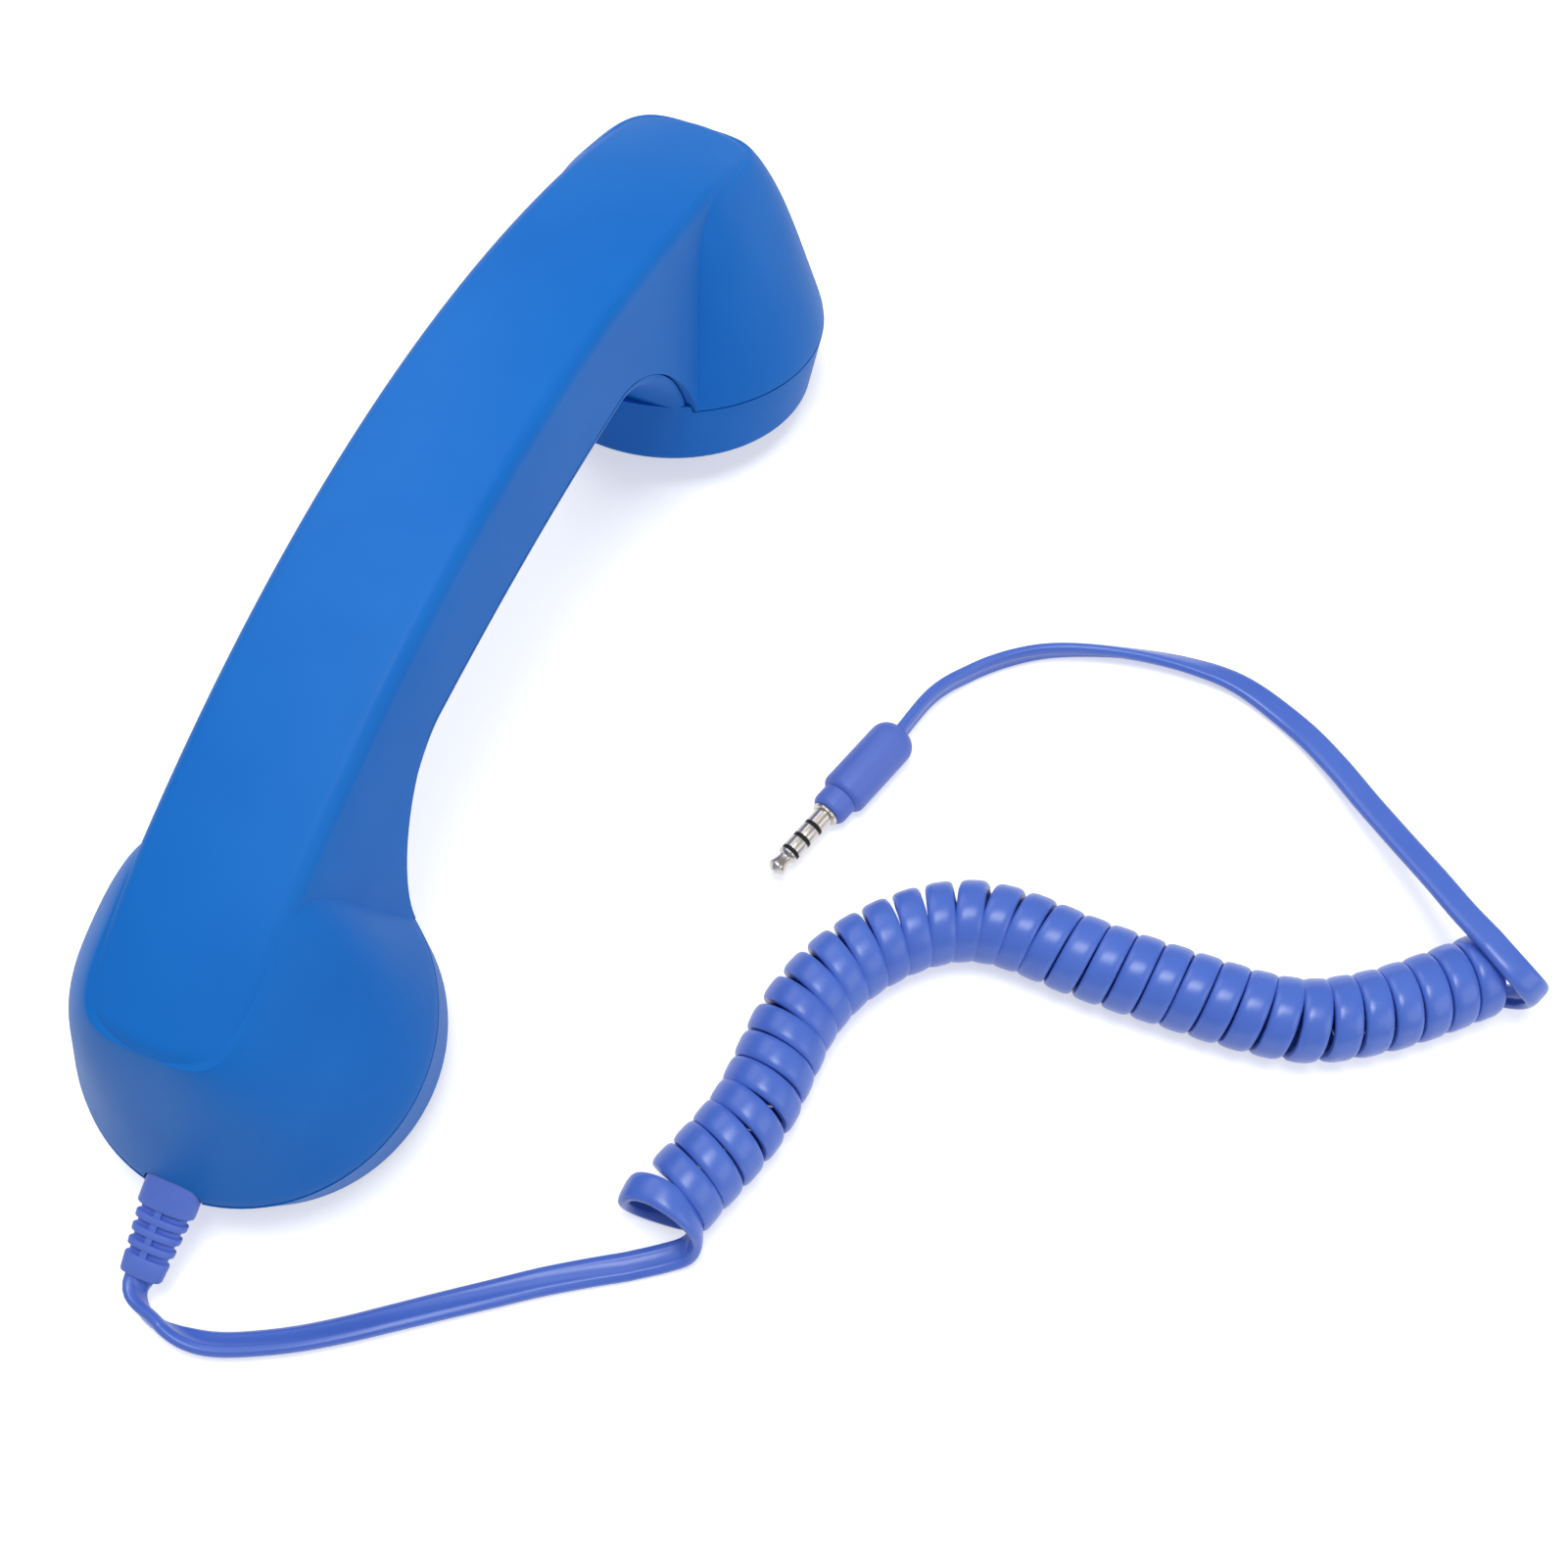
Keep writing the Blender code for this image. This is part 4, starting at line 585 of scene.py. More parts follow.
def superellipse(
    half_x: float, half_low: float, half_high: float, squareness: float, segments: int
) -> List[Flat]:
    """Return a rounded outline with its own reach on each side of its second axis.

    Args:
        half_x: Half width along the first axis.
        half_low: Reach to the negative side of the second axis.
        half_high: Reach to its positive side.
        squareness: 2 for an ellipse, more for a squarer outline.
        segments: Number of points.

    Returns:
        The outline's points.
    """
    points = []
    for step in range(segments):
        angle = 2.0 * math.pi * step / segments
        across = half_x * signed_power(math.cos(angle), 2.0 / squareness)
        along = signed_power(math.sin(angle), 2.0 / squareness)
        points.append((across, along * (half_high if along > 0.0 else half_low)))
    return points


def dress(
    item: Part,
    finishes: FinishStore,
    slot: Slot,
    replaces: Sequence[str],
    sharp: float,
    body: Body = Body.HANDSET,
) -> Part:
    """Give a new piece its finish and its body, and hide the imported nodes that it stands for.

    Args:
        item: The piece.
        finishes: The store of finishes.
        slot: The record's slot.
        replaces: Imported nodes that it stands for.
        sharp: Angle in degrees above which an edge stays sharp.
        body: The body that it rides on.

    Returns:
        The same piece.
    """
    item.data.materials.clear()
    item.data.materials.append(finishes.get(slot.value))
    item.data.shade_smooth()
    item.data.set_sharp_from_angle(angle=math.radians(sharp))
    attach(item, body.value)
    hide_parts(*replaces)
    LOG.info("piece %s: %d faces", item.name, len(item.data.polygons))
    return item


@dataclass(frozen=True)
class CupForm:
    """The two cups: short cylinders that lean towards each other."""

    spacing: float = 0.1480
    tilt: float = math.radians(12.0)
    face_radius: float = 0.0275
    seam_radius: float = 0.0290
    ring_height: float = 0.0130
    rim_fillet: float = 0.0014
    rim_width: float = 0.0035
    dish_depth: float = 0.0015
    dish_power: int = 3
    dish_shares: Tuple[float, ...] = (0.3, 0.4, 0.5, 0.6, 0.7, 0.8, 0.9, 1.0)
    plate: float = 0.0020
    hollow_chamfer: float = 0.0010
    segments: int = 112
    hollow_segments: int = 48
    rim_steps: int = 8

    def slope(self) -> float:
        """Return how much the radius grows with the height."""
        return (self.seam_radius - self.face_radius) / self.ring_height

    def lift(self) -> float:
        """Return the height of a face's centre, with its rounded rim on the floor."""
        flat = self.face_radius - self.rim_fillet
        return flat * math.sin(self.tilt) + self.rim_fillet * (1.0 - math.cos(self.tilt))

    def matrix(self, end: End) -> Matrix:
        """Return a cup's frame, with its Z axis up the cup."""
        centre = Vector((0.0, end.value * self.spacing / 2.0, self.lift()))
        return Matrix.Translation(centre) @ Matrix.Rotation(-end.value * self.tilt, 4, "X")

    def seam_centre(self) -> Flat:
        """Return the seam centre's distance from the middle and its height."""
        reach = self.spacing / 2.0 + self.ring_height * math.sin(self.tilt)
        return reach, self.lift() + self.ring_height * math.cos(self.tilt)

    def seam_height(self, y: float) -> float:
        """Return the height of the tilted seam plane at a distance from the middle."""
        reach, height = self.seam_centre()
        return height - (y - reach) * math.tan(self.tilt)


@dataclass(frozen=True)
class GripForm:
    """The arched grip bar with its drafted sides and its rounded belly."""

    length: float = 0.1902
    half_width: float = 0.0126
    edge_radius: float = 0.0024
    corner_radius: float = 0.0032
    corner_clear: float = 1.3
    least_radius: float = 0.0007
    end_bow: float = 0.0028
    bow_share: float = 0.30
    crown: float = 0.0005
    draft: float = 0.10
    arch_height: float = 0.0710
    arch_rate: float = 2.6
    foot_height: float = 0.0155
    wall: float = 0.0020
    belly_depth: float = 0.0050
    belly_squareness: float = 2.3
    neck_width_share: float = 0.88
    neck_depth_share: float = 0.60
    root_width_shares: Flat = (0.58, 0.76)
    root_depth_shares: Flat = (0.48, 0.57)
    root_steps: Tuple[Flat, Flat] = ((0.0002, 0.0030), (0.0010, 0.0070))

    def arch(self, y: float) -> float:
        """Return the height of the grip's top line."""
        return self.arch_height - self.arch_rate * y * y


@dataclass(frozen=True)
class DomeForm:
    """The domes that rise from the cups' seams into the grip."""

    top_drop: float = 0.0012
    top_shift: float = 0.0028
    top_tilt: float = math.radians(22.0)
    top_half_width: float = 0.0124
    top_outer_reach: float = 0.0164
    top_inner_reach: float = 0.0145
    top_squareness: float = 3.9
    squareness_power: float = 2.6
    level_power: float = 1.1
    side_powers: Flat = (1.25, 0.79)
    outer_powers: Flat = (1.0, 0.89)
    inner_powers: Flat = (1.0, 0.90)

    def reach(self, share: float, top: float, seam: float, powers: Flat) -> float:
        """Return the reach from the dome's axis at a share of its height.

        Args:
            share: 0 at the seam and 1 at the top.
            top: The reach at the top.
            seam: The reach at the seam.
            powers: How the reach falls between them.

        Returns:
            The reach.
        """
        fall = max(1.0 - share ** powers[0], 0.0) ** powers[1]
        return top + (seam - top) * fall


@dataclass(frozen=True)
class PartingForm:
    """The line between the two shells, seen from the side."""

    height: float = 0.0532
    arch_rate: float = 1.745
    neck_inset: float = 0.0048
    neck_length: float = 0.0211
    neck_power: float = 1.75
    gap: float = 0.0003
    steps: int = 24

    def level(self, y: float) -> float:
        """Return the height of the line's shallow arch."""
        return self.height - self.arch_rate * y * y

    def neck_reach(self, cups: CupForm) -> float:
        """Return how far from the middle the line meets a cup."""
        inner_side = cups.seam_centre()[0] - cups.seam_radius * math.cos(cups.tilt)
        return inner_side + self.neck_inset

    def neck_start(self, cups: CupForm) -> float:
        """Return how far from the middle the line starts to fall."""
        return self.neck_reach(cups) - self.neck_length


@dataclass(frozen=True)
class Fineness:
    """How finely the housing's shapes are divided.

    Attributes:
        edge: Steps round the bar's upper edges.
        side: Steps up its sides.
        crown: Steps to the middle of its top.
        end: Steps round its ends.
        stations: Steps along it.
        dome_points: Points round a dome.
        dome_levels: Steps up a dome.
        belly: Steps round the belly.
    """

    edge: int
    side: int
    crown: int
    end: int
    stations: int
    dome_points: int
    dome_levels: int
    belly: int


SKIN = Fineness(edge=9, side=6, crown=5, end=9, stations=64, dome_points=112, dome_levels=34,
                belly=30)
HOLLOW = Fineness(edge=3, side=1, crown=1, end=4, stations=10, dome_points=24, dome_levels=6,
                  belly=8)


def round_fall(radius: float, inward: float) -> float:
    """Return how far a rounded edge lies below its surface, at a distance from its end."""
    return radius - math.sqrt(max(radius ** 2 - max(radius - inward, 0.0) ** 2, 0.0))


def mirrored(half: Sequence[Flat]) -> List[Flat]:
    """Return a line of both halves from the half that starts in the middle."""
    return [(-y, z) for y, z in reversed(half[1:])] + list(half)


@dataclass
class Housing:
    """The two moulded shells of the handset.

    An inset of 0 gives a shape's outer form, and the wall as inset gives its hollow.

    Attributes:
        finishes: The store of finishes.
        cups: Sizes of the cups.
        grip: Sizes of the grip.
        domes: Sizes of the domes.
        parting: Sizes of the parting line.
        reach: How far cutters run past what they cut.
        overlap: How far joined shapes run into each other.
        nudge: A tiny shift of the block below the parting line. It keeps the block's faces
            from falling together with the cups' and the belly's, which leaves holes.
        block_levels: The blocks' far sides, as shares of the arch's height.
        block_width: The blocks' half width, as a share of the seam's radius.
        least_mitre: How sharp a bend of the parting line is followed at most.
        sharp: Angle in degrees above which an edge stays sharp.
    """

    finishes: FinishStore
    cups: CupForm = field(default_factory=CupForm)
    grip: GripForm = field(default_factory=GripForm)
    domes: DomeForm = field(default_factory=DomeForm)
    parting: PartingForm = field(default_factory=PartingForm)
    reach: float = 0.0030
    overlap: float = 0.0015
    nudge: Point = (0.000007, 0.000013, 0.0)
    block_levels: Flat = (1.5, -0.5)
    block_width: float = 1.6
    least_mitre: float = 0.4
    sharp: float = 30.0

    def parting_half(self) -> List[Flat]:
        """Return the parting line's points from the middle to the notch at a cup."""
        line = self.parting
        start = line.neck_start(self.cups)
        stations = [start * step / line.steps for step in range(line.steps)]
        points = [(y, line.level(y)) for y in stations]
        low = self.cups.seam_height(line.neck_reach(self.cups))
        for sine, cosine in quarter(line.steps):
            y = start + line.neck_length * sine ** (2.0 / line.neck_power)
            points.append((y, low + (line.level(y) - low) * cosine ** (2.0 / line.neck_power)))
        return points

    def side_block(self, side: Side) -> Mesh:
        """Return a block on one side of the parting line, half the gap away.

        Args:
            side: The side of the line.

        Returns:
            The block's mesh.
        """
        beyond = self.cups.spacing
        half = self.parting_half() + [(beyond, self.cups.seam_height(beyond))]
        spots = [Vector(point) for point in mirrored(half)]
        runs = [(after - before).normalized() for before, after in zip(spots, spots[1:])]
        normals = [Vector((-run.y, run.x)) for run in runs[:1] + runs + runs[-1:]]
        shift = side.value * self.parting.gap / 2.0
        moved = []
        for spot, normal, following in zip(spots, normals, normals[1:]):
            middle = (normal + following).normalized()
            mitre = max(middle.dot(normal), self.least_mitre)
            moved.append(tuple(spot + middle * shift / mitre))
        above, below = self.block_levels
        level = self.grip.arch_height * (above if side is Side.ABOVE else below)
        outline = moved + [(beyond, level), (-beyond, level)]
        wide = self.cups.seam_radius * self.block_width
        return loft("block", [[(x, y, z) for y, z in outline] for x in (-wide, wide)])

    def bar_ring(self, y: float, inset: float) -> List[Point]:
        """Return one ring across the bar.

        Args:
            y: The station along the grip.
            inset: How far the ring lies inside the outer surface.

        Returns:
            The ring's points.
        """
        grip = self.grip
        fine = HOLLOW if inset > 0.0 else SKIN
        edge = max(grip.edge_radius - inset, grip.least_radius)
        corner = max(grip.corner_radius - inset, grip.least_radius)
        inward = grip.length / 2.0 - inset - abs(y)
        top = grip.arch(y) - inset - round_fall(edge, inward)
        half = grip.half_width - inset - round_fall(corner, inward)
        foot = grip.foot_height - (self.reach if inset > 0.0 else 0.0)
        side = []
        for step in range(fine.side + 1):
            level = foot + (top - edge - foot) * step / (fine.side + 1)
            side.append((half + grip.draft * (top - level), level))
        for sine, cosine in quarter(fine.edge):
            bulge = edge * cosine + grip.draft * edge * (1.0 - sine)
            side.append((half - edge + bulge, top - edge + edge * sine))
        for step in range(1, fine.crown + 1):
            share = 1.0 - step / (fine.crown + 0.5)
            side.append(((half - edge) * share, top + grip.crown * (1.0 - share ** 2)))
        ring = side + [(-x, z) for x, z in reversed(side)]
        bowed = grip.length / 2.0 * grip.bow_share
        bend = min(max(abs(y) - grip.length / 2.0 + bowed, 0.0) / bowed, 1.0) ** 2
        points = []
        for x, z in ring:
            bow = grip.end_bow * min(abs(x) / grip.half_width, 1.0) ** 2 * bend
            points.append((x, math.copysign(abs(y) - bow, y), z))
        return points

    def bar(self, inset: float) -> Mesh:
        """Return the arched bar, or its hollow."""
        fine = HOLLOW if inset > 0.0 else SKIN
        tip = self.grip.length / 2.0 - inset
        corner = max(self.grip.corner_radius - inset, self.grip.least_radius)
        stops = [tip - corner * (1.0 - cosine) for _, cosine in quarter(fine.end)[:-1]]
        inner = tip - corner * self.grip.corner_clear
        steps = range(fine.stations + 1)
        middle = [inner * (1.0 - 2.0 * step / fine.stations) for step in steps]
        stations = stops + middle + [-stop for stop in reversed(stops)]
        return loft("bar", [self.bar_ring(y, inset) for y in stations])

    def dome_ring(self, share: float, end: End, inset: float) -> List[Point]:
        """Return one tilted ring of a dome.

        Args:
            share: 0 at the seam and 1 at the top.
            end: The handset's end.
            inset: How far the ring lies inside the outer surface.

        Returns:
            The ring's points.
        """
        dome = self.domes
        radius = self.cups.seam_radius
        reach, height = self.cups.seam_centre()
        top = self.grip.arch(reach + dome.top_shift) - dome.top_drop - inset
        wide = dome.reach(share, dome.top_half_width, radius, dome.side_powers) - inset
        outer = dome.reach(share, dome.top_outer_reach, radius, dome.outer_powers) - inset
        inner = dome.reach(share, dome.top_inner_reach, radius, dome.inner_powers) - inset
        square = 2.0 + (dome.top_squareness - 2.0) * share ** dome.squareness_power
        tilt = self.cups.tilt + (dome.top_tilt - self.cups.tilt) * share
        centre = reach + dome.top_shift * share
        level = height + (top - height) * share
        points = (HOLLOW if inset > 0.0 else SKIN).dome_points
        return [(x, end.value * (centre + v * math.cos(tilt)), level - v * math.sin(tilt))
                for x, v in superellipse(wide, inner, outer, square, points)]

    def dome(self, end: End, inset: float) -> Mesh:
        """Return a dome, or its hollow."""
        tilt = self.cups.tilt
        down = Vector((0.0, -end.value * math.sin(tilt), -math.cos(tilt)))
        down *= self.reach if inset > 0.0 else self.overlap
        rings = [[tuple(Vector(point) + down) for point in self.dome_ring(0.0, end, inset)]]
        levels = (HOLLOW if inset > 0.0 else SKIN).dome_levels
        for sine, _ in quarter(levels)[1:]:
            rings.append(self.dome_ring(sine ** self.domes.level_power, end, inset))
        return loft("dome", rings)

    def cup(self) -> Mesh:
        """Return the outer form of a cup below the seam, with its dished face."""
        cups = self.cups
        rise = cups.ring_height + self.overlap
        dish = cups.face_radius - cups.rim_width - cups.rim_fillet
        profile = [(dish * share, cups.dish_depth * (1.0 - share ** cups.dish_power))
                   for share in cups.dish_shares]
        profile += low_edge(cups.face_radius, 0.0, (cups.rim_fillet,) * 2, cups.rim_steps)
        profile.append((cups.face_radius + cups.slope() * rise, rise))
        return turned("cup", profile, cups.segments)

    def cup_hollow(self) -> Mesh:
        """Return the hollow of a cup above its face plate."""
        cups = self.cups
        floor = cups.dish_depth + cups.plate
        rise = cups.ring_height + self.reach
        low = cups.face_radius - self.grip.wall + cups.slope() * floor
        high = cups.face_radius - self.grip.wall + cups.slope() * rise
        chamfer = cups.hollow_chamfer
        profile = [(low - chamfer, floor), (low, floor + chamfer), (high, rise)]
        return turned("cup_hollow", profile, cups.hollow_segments)

    def belly(self, inset: float) -> Mesh:
        """Return the rounded underside of the grip, or its hollow."""
        grip = self.grip
        half_line = self.parting_half()
        low_y, low_z = half_line[-1]
        half_line += [(low_y + run, low_z - fall) for run, fall in grip.root_steps]
        start = self.parting.neck_start(self.cups)
        line = mirrored(half_line)
        spots = [Vector(point) for point in line]
        rise = self.reach if inset > 0.0 else self.overlap
        count = (HOLLOW if inset > 0.0 else SKIN).belly
        rings = []
        for index, (y, z) in enumerate(line):
            tangent = course(spots, index)
            from_end = min(index, len(line) - 1 - index)
            along = min(max(abs(y) - start, 0.0) / self.parting.neck_length, 1.0) ** 2
            width_share = 1.0 - (1.0 - grip.neck_width_share) * along
            depth_share = 1.0 - (1.0 - grip.neck_depth_share) * along
            if from_end < len(grip.root_steps):
                width_share = grip.root_width_shares[from_end]
                depth_share = grip.root_depth_shares[from_end]
            half = (grip.half_width + grip.draft * (grip.arch(y) - z)) * width_share - inset
            depth = grip.belly_depth * depth_share - inset
            down = Vector((tangent.y, -tangent.x))
            ring = []
            for step in range(count + 1):
                turn = math.pi * step / count
                x = half * signed_power(math.cos(turn), 2.0 / grip.belly_squareness)
                sink = depth * math.sin(turn) ** (2.0 / grip.belly_squareness)
                ring.append((x, y + down.x * sink, z + down.y * sink))
            lean = half - grip.draft * rise
            ring.append((-lean, y - down.x * rise, z - down.y * rise))
            ring.append((lean, y - down.x * rise, z - down.y * rise))
            rings.append(ring)
        return loft("belly", rings)

    def upper(self, opening: Mesh) -> Part:
        """Build the upper shell.

        Args:
            opening: The stepped hole for the strain relief.

        Returns:
            The dressed shell.
        """
        wall = self.grip.wall
        shell = link_mesh("upper_shell_skin", self.bar(0.0))
        combine(shell, gather("domes", [self.dome(end, 0.0) for end in End]), Operation.JOIN)
        combine(shell, self.side_block(Side.ABOVE), Operation.KEEP)
        combine(shell, self.bar(wall), Operation.CUT)
        combine(shell, gather("hollows", [self.dome(end, wall) for end in End]), Operation.CUT)
        combine(shell, opening, Operation.CUT)
        return dress(shell, self.finishes, Slot.SHELL, ("upper_shell",), self.sharp)

    def lower(self, openings: Sequence[Mesh]) -> Part:
        """Build the lower shell.

        Args:
            openings: Cutters for the holes, the button, the screws and the strain relief.

        Returns:
            The dressed shell.
        """
        shell = link_mesh("lower_shell_skin", self.belly(0.0))
        cups = [placed(self.cup(), self.cups.matrix(end)) for end in End]
        combine(shell, gather("cups", cups), Operation.JOIN)
        block = placed(self.side_block(Side.BELOW), Matrix.Translation(self.nudge))
        combine(shell, block, Operation.KEEP)
        combine(shell, self.belly(self.grip.wall), Operation.CUT)
        hollows = [placed(self.cup_hollow(), self.cups.matrix(end)) for end in End]
        combine(shell, gather("hollows", hollows), Operation.CUT)
        for mesh in openings:
            combine(shell, mesh, Operation.CUT)
        return dress(shell, self.finishes, Slot.SHELL, ("lower_shell",), self.sharp)


@dataclass
class SoundHoles:
    """The round patterns of sound holes in the two faces.

    Attributes:
        cups: Sizes of the cups.
        ear_radius: Radius of the ear's holes.
        ear_pitch: Distance between their rings.
        mouth_radius: Radius of the mouth's holes.
        mouth_pitch: Distance between their rings.
        rings: Number of rings round the middle hole.
        per_ring: Holes of the first ring, and how many more each further one has.
        turn: How far the rings are turned, as a share of a step.
        segments: Points round a hole.
        flare: How much wider a hole is at the face.
        flare_run: Length over which it narrows.
        start: Where a drill starts, from the face's rim.
        reach: How far it runs past the face's plate.
    """

    cups: CupForm
    ear_radius: float = 0.0011
    ear_pitch: float = 0.0050
    mouth_radius: float = 0.0009
    mouth_pitch: float = 0.0036
    rings: int = 2
    per_ring: int = 6
    turn: float = 0.1
    segments: int = 20
    flare: float = 0.0003
    flare_run: float = 0.0006
    start: float = -0.0015
    reach: float = 0.0030

    def pattern(self, end: End) -> Mesh:
        """Return the drills of one face.

        Args:
            end: The handset's end.

        Returns:
            The cutters, in place.
        """
        radius, pitch = (self.ear_radius, self.ear_pitch)
        if end is End.MOUTH:
            radius, pitch = (self.mouth_radius, self.mouth_pitch)
        spots = [(0.0, 0.0)]
        for ring in range(1, self.rings + 1):
            count = self.per_ring * ring
            for step in range(count):
                angle = 2.0 * math.pi * (step + self.turn) / count
                spots.append((ring * pitch * math.cos(angle), ring * pitch * math.sin(angle)))
        depth = self.cups.dish_depth + self.cups.plate + self.reach
        mouth = radius + self.flare
        level = self.cups.dish_depth * 0.5
        profile = [(mouth, self.start), (mouth, level), (radius, level + self.flare_run),
                   (radius, depth)]
        face = self.cups.matrix(end)
        return gather("holes", [
            placed(turned("hole", profile, self.segments),
                   face @ Matrix.Translation((x, y, 0.0)))
            for x, y in spots])


@dataclass
class StrainRelief:
    """The ribbed rubber sleeve where the cord leaves the mouth cup.

    Sections are given as half width and half depth, and lengths from the housing outwards.

    Attributes:
        finishes: The store of finishes.
        cups: Sizes of the cups.
        slope: How steeply it points down.
        length: Its length outside the housing.
        head: Section of the collar at the housing.
        head_length: How far that collar stands out.
        head_edge: The collar's rounded edge, as steps inward and back.
        end: Section of the sleeve's end.
        end_length: Length of the collar at that end.
        sink: How deep the head's collar sits in the housing.
        neck: Section inside the wall.
        flange: Section of the flange inside the housing.
        flange_inset: How deep the flange lies.
        flange_thickness: Its thickness.
        rings: Number of thin rings.
        inside_head: How far the ribbed part lies inside the head's section.
        groove_step: Depth of a groove across the width.
        groove_depth: Depth of a groove across the depth.
        groove_length: Length of a groove.
        ring_bite: Size of a thin ring's rounded edges.
        end_bite: Size of the end collar's rounded edges.
        edge_shares: A rounded edge, as shares along and inward.
        web_width: Width of the webs that join the rings.
        web_reach: How far the webs run into both collars.
        web_levels: How deep a web's face and its root lie.
        squareness: 2 for oval sections, more for squarer ones.
        gap: Room round the sleeve in the housing.
        slant: Length over which one section changes into the next.
        points: Points round the sleeve.
        sharp: Angle in degrees above which an edge stays sharp.
    """

    finishes: FinishStore
    cups: CupForm
    slope: float = math.radians(25.0)
    length: float = 0.0132
    head: Flat = (0.00465, 0.00275)
    head_length: float = 0.0025
    head_edge: Tuple[Flat, ...] = ((0.0, 0.0005), (0.0001, 0.0002), (0.0004, 0.0))
    end: Flat = (0.0034, 0.0020)
    end_length: float = 0.0021
    sink: float = 0.0028
    neck: Flat = (0.0036, 0.0019)
    flange: Flat = (0.0052, 0.0026)
    flange_inset: float = 0.0058
    flange_thickness: float = 0.0014
    rings: int = 3
    inside_head: Flat = (0.0003, 0.0002)
    groove_step: float = 0.0005
    groove_depth: float = 0.0010
    groove_length: float = 0.0010
    ring_bite: float = 0.00022
    end_bite: float = 0.0004
    edge_shares: Tuple[Flat, ...] = ((0.0, 1.0), (0.3, 0.3), (1.0, 0.0))
    web_width: float = 0.0011
    web_reach: float = 0.0005
    web_levels: Flat = (0.0002, 0.0004)
    squareness: float = 2.6
    gap: float = 0.0003
    slant: float = 0.0001
    points: int = 56
    sharp: float = 38.0

    def matrix(self) -> Matrix:
        """Return the sleeve's frame, with its Z axis along the cord."""
        reach, height = self.cups.seam_centre()
        radius = self.cups.seam_radius
        spot = Vector((0.0, -(reach + radius * math.cos(self.cups.tilt)),
                       height - radius * math.sin(self.cups.tilt)))
        along = Vector((0.0, -math.cos(self.slope), -math.sin(self.slope)))
        across = Vector((1.0, 0.0, 0.0))
        basis = Matrix((across, along.cross(across), along)).transposed().to_4x4()
        return Matrix.Translation(spot) @ basis

    def oval(self, half_width: float, half_depth: float, level: float) -> List[Point]:
        """Return one oval ring across the sleeve."""
        outline = superellipse(half_width, half_depth, half_depth, self.squareness, self.points)
        return [(x, v, level) for x, v in outline]

    def opening(self) -> Mesh:
        """Return the stepped opening in the housing, in place."""
        neck = (self.neck[0] + self.gap, self.neck[1] + self.gap)
        head = (self.head[0] + self.gap, self.head[1] + self.gap)
        step = -self.sink - self.gap
        low = -self.flange_inset - 2.0 * self.flange_thickness
        return placed(loft("relief_hole", [
            self.oval(*neck, low), self.oval(*neck, step), self.oval(*head, step + self.slant),
            self.oval(*head, self.head_length)]), self.matrix())

    def taper(self, level: float) -> Flat:
        """Return the half width and half depth at a distance outside the housing."""
        share = max(level - self.head_length, 0.0) / (self.length - self.head_length)
        wide = self.head[0] - self.inside_head[0]
        deep = self.head[1] - self.inside_head[1]
        return wide + (self.end[0] - wide) * share, deep + (self.end[1] - deep) * share

    def rounded_band(self, low: float, high: float, bite: float) -> List[List[Point]]:
        """Return the rings of one band with rounded edges.

        Args:
            low: The band's near side.
            high: Its far side.
            bite: Radius of its edges.

        Returns:
            The rings, in order.
        """
        stops = [(low + bite * along, share) for along, share in self.edge_shares]
        stops += [(high - bite * along, share) for along, share in reversed(self.edge_shares)]
        rings = []
        for level, share in stops:
            wide, deep = self.taper(level)
            rings.append(self.oval(wide - bite * share, deep - bite * share, level))
        return rings

    def web(self, face: float, start: float, stop: float) -> Mesh:
        """Return the web that joins the rings on one face.

        Args:
            face: 1 for the face on top and -1 for the one below.
            start: Where the ribbed part starts.
            stop: Where it stops.

        Returns:
            The web's mesh.
        """
        half = self.web_width / 2.0
        skin, below = self.web_levels
        outline = []
        for level in (start - self.web_reach, stop + self.web_reach):
            deep = self.taper(level)[1]
            surface = face * (deep - skin)
            root = face * (deep - self.groove_depth - below)
            outline.append([(-half, root, level), (half, root, level),
                            (half, surface, level), (-half, surface, level)])
        return loft("web", outline)

    def build(self) -> Part:
        """Build the sleeve with its collars, thin rings and webs.

        Returns:
            The dressed sleeve.
        """
        inner = -self.flange_inset
        rings = [
            self.oval(*self.flange, inner - self.flange_thickness),
            self.oval(*self.flange, inner), self.oval(*self.neck, inner + self.slant),
            self.oval(*self.neck, -self.sink - self.slant), self.oval(*self.head, -self.sink),
        ]
        for bite, back in self.head_edge:
            wide, deep = self.head[0] - bite, self.head[1] - bite
            rings.append(self.oval(wide, deep, self.head_length - back))
        start = self.head_length
        stop = self.length - self.end_length
        pitch = (stop - start) / (self.rings + 1)
        for row in range(self.rings + 1):
            low = start + row * pitch
            high = low + self.groove_length
            for level in (low + self.slant, high - self.slant):
                wide, deep = self.taper(level)
                rings.append(self.oval(wide - self.groove_step, deep - self.groove_depth, level))
            if row < self.rings:
                rings += self.rounded_band(high, low + pitch, self.ring_bite)
        rings += self.rounded_band(stop - pitch + self.groove_length, self.length, self.end_bite)
        sleeve = link_mesh("strain_relief_skin", loft("relief", rings))
        webs = [self.web(face, start, stop) for face in (-1.0, 1.0)]
        combine(sleeve, gather("webs", webs), Operation.JOIN)
        placed(sleeve.data, self.matrix())
        return dress(sleeve, self.finishes, Slot.RELIEF, ("strain_relief",), self.sharp)


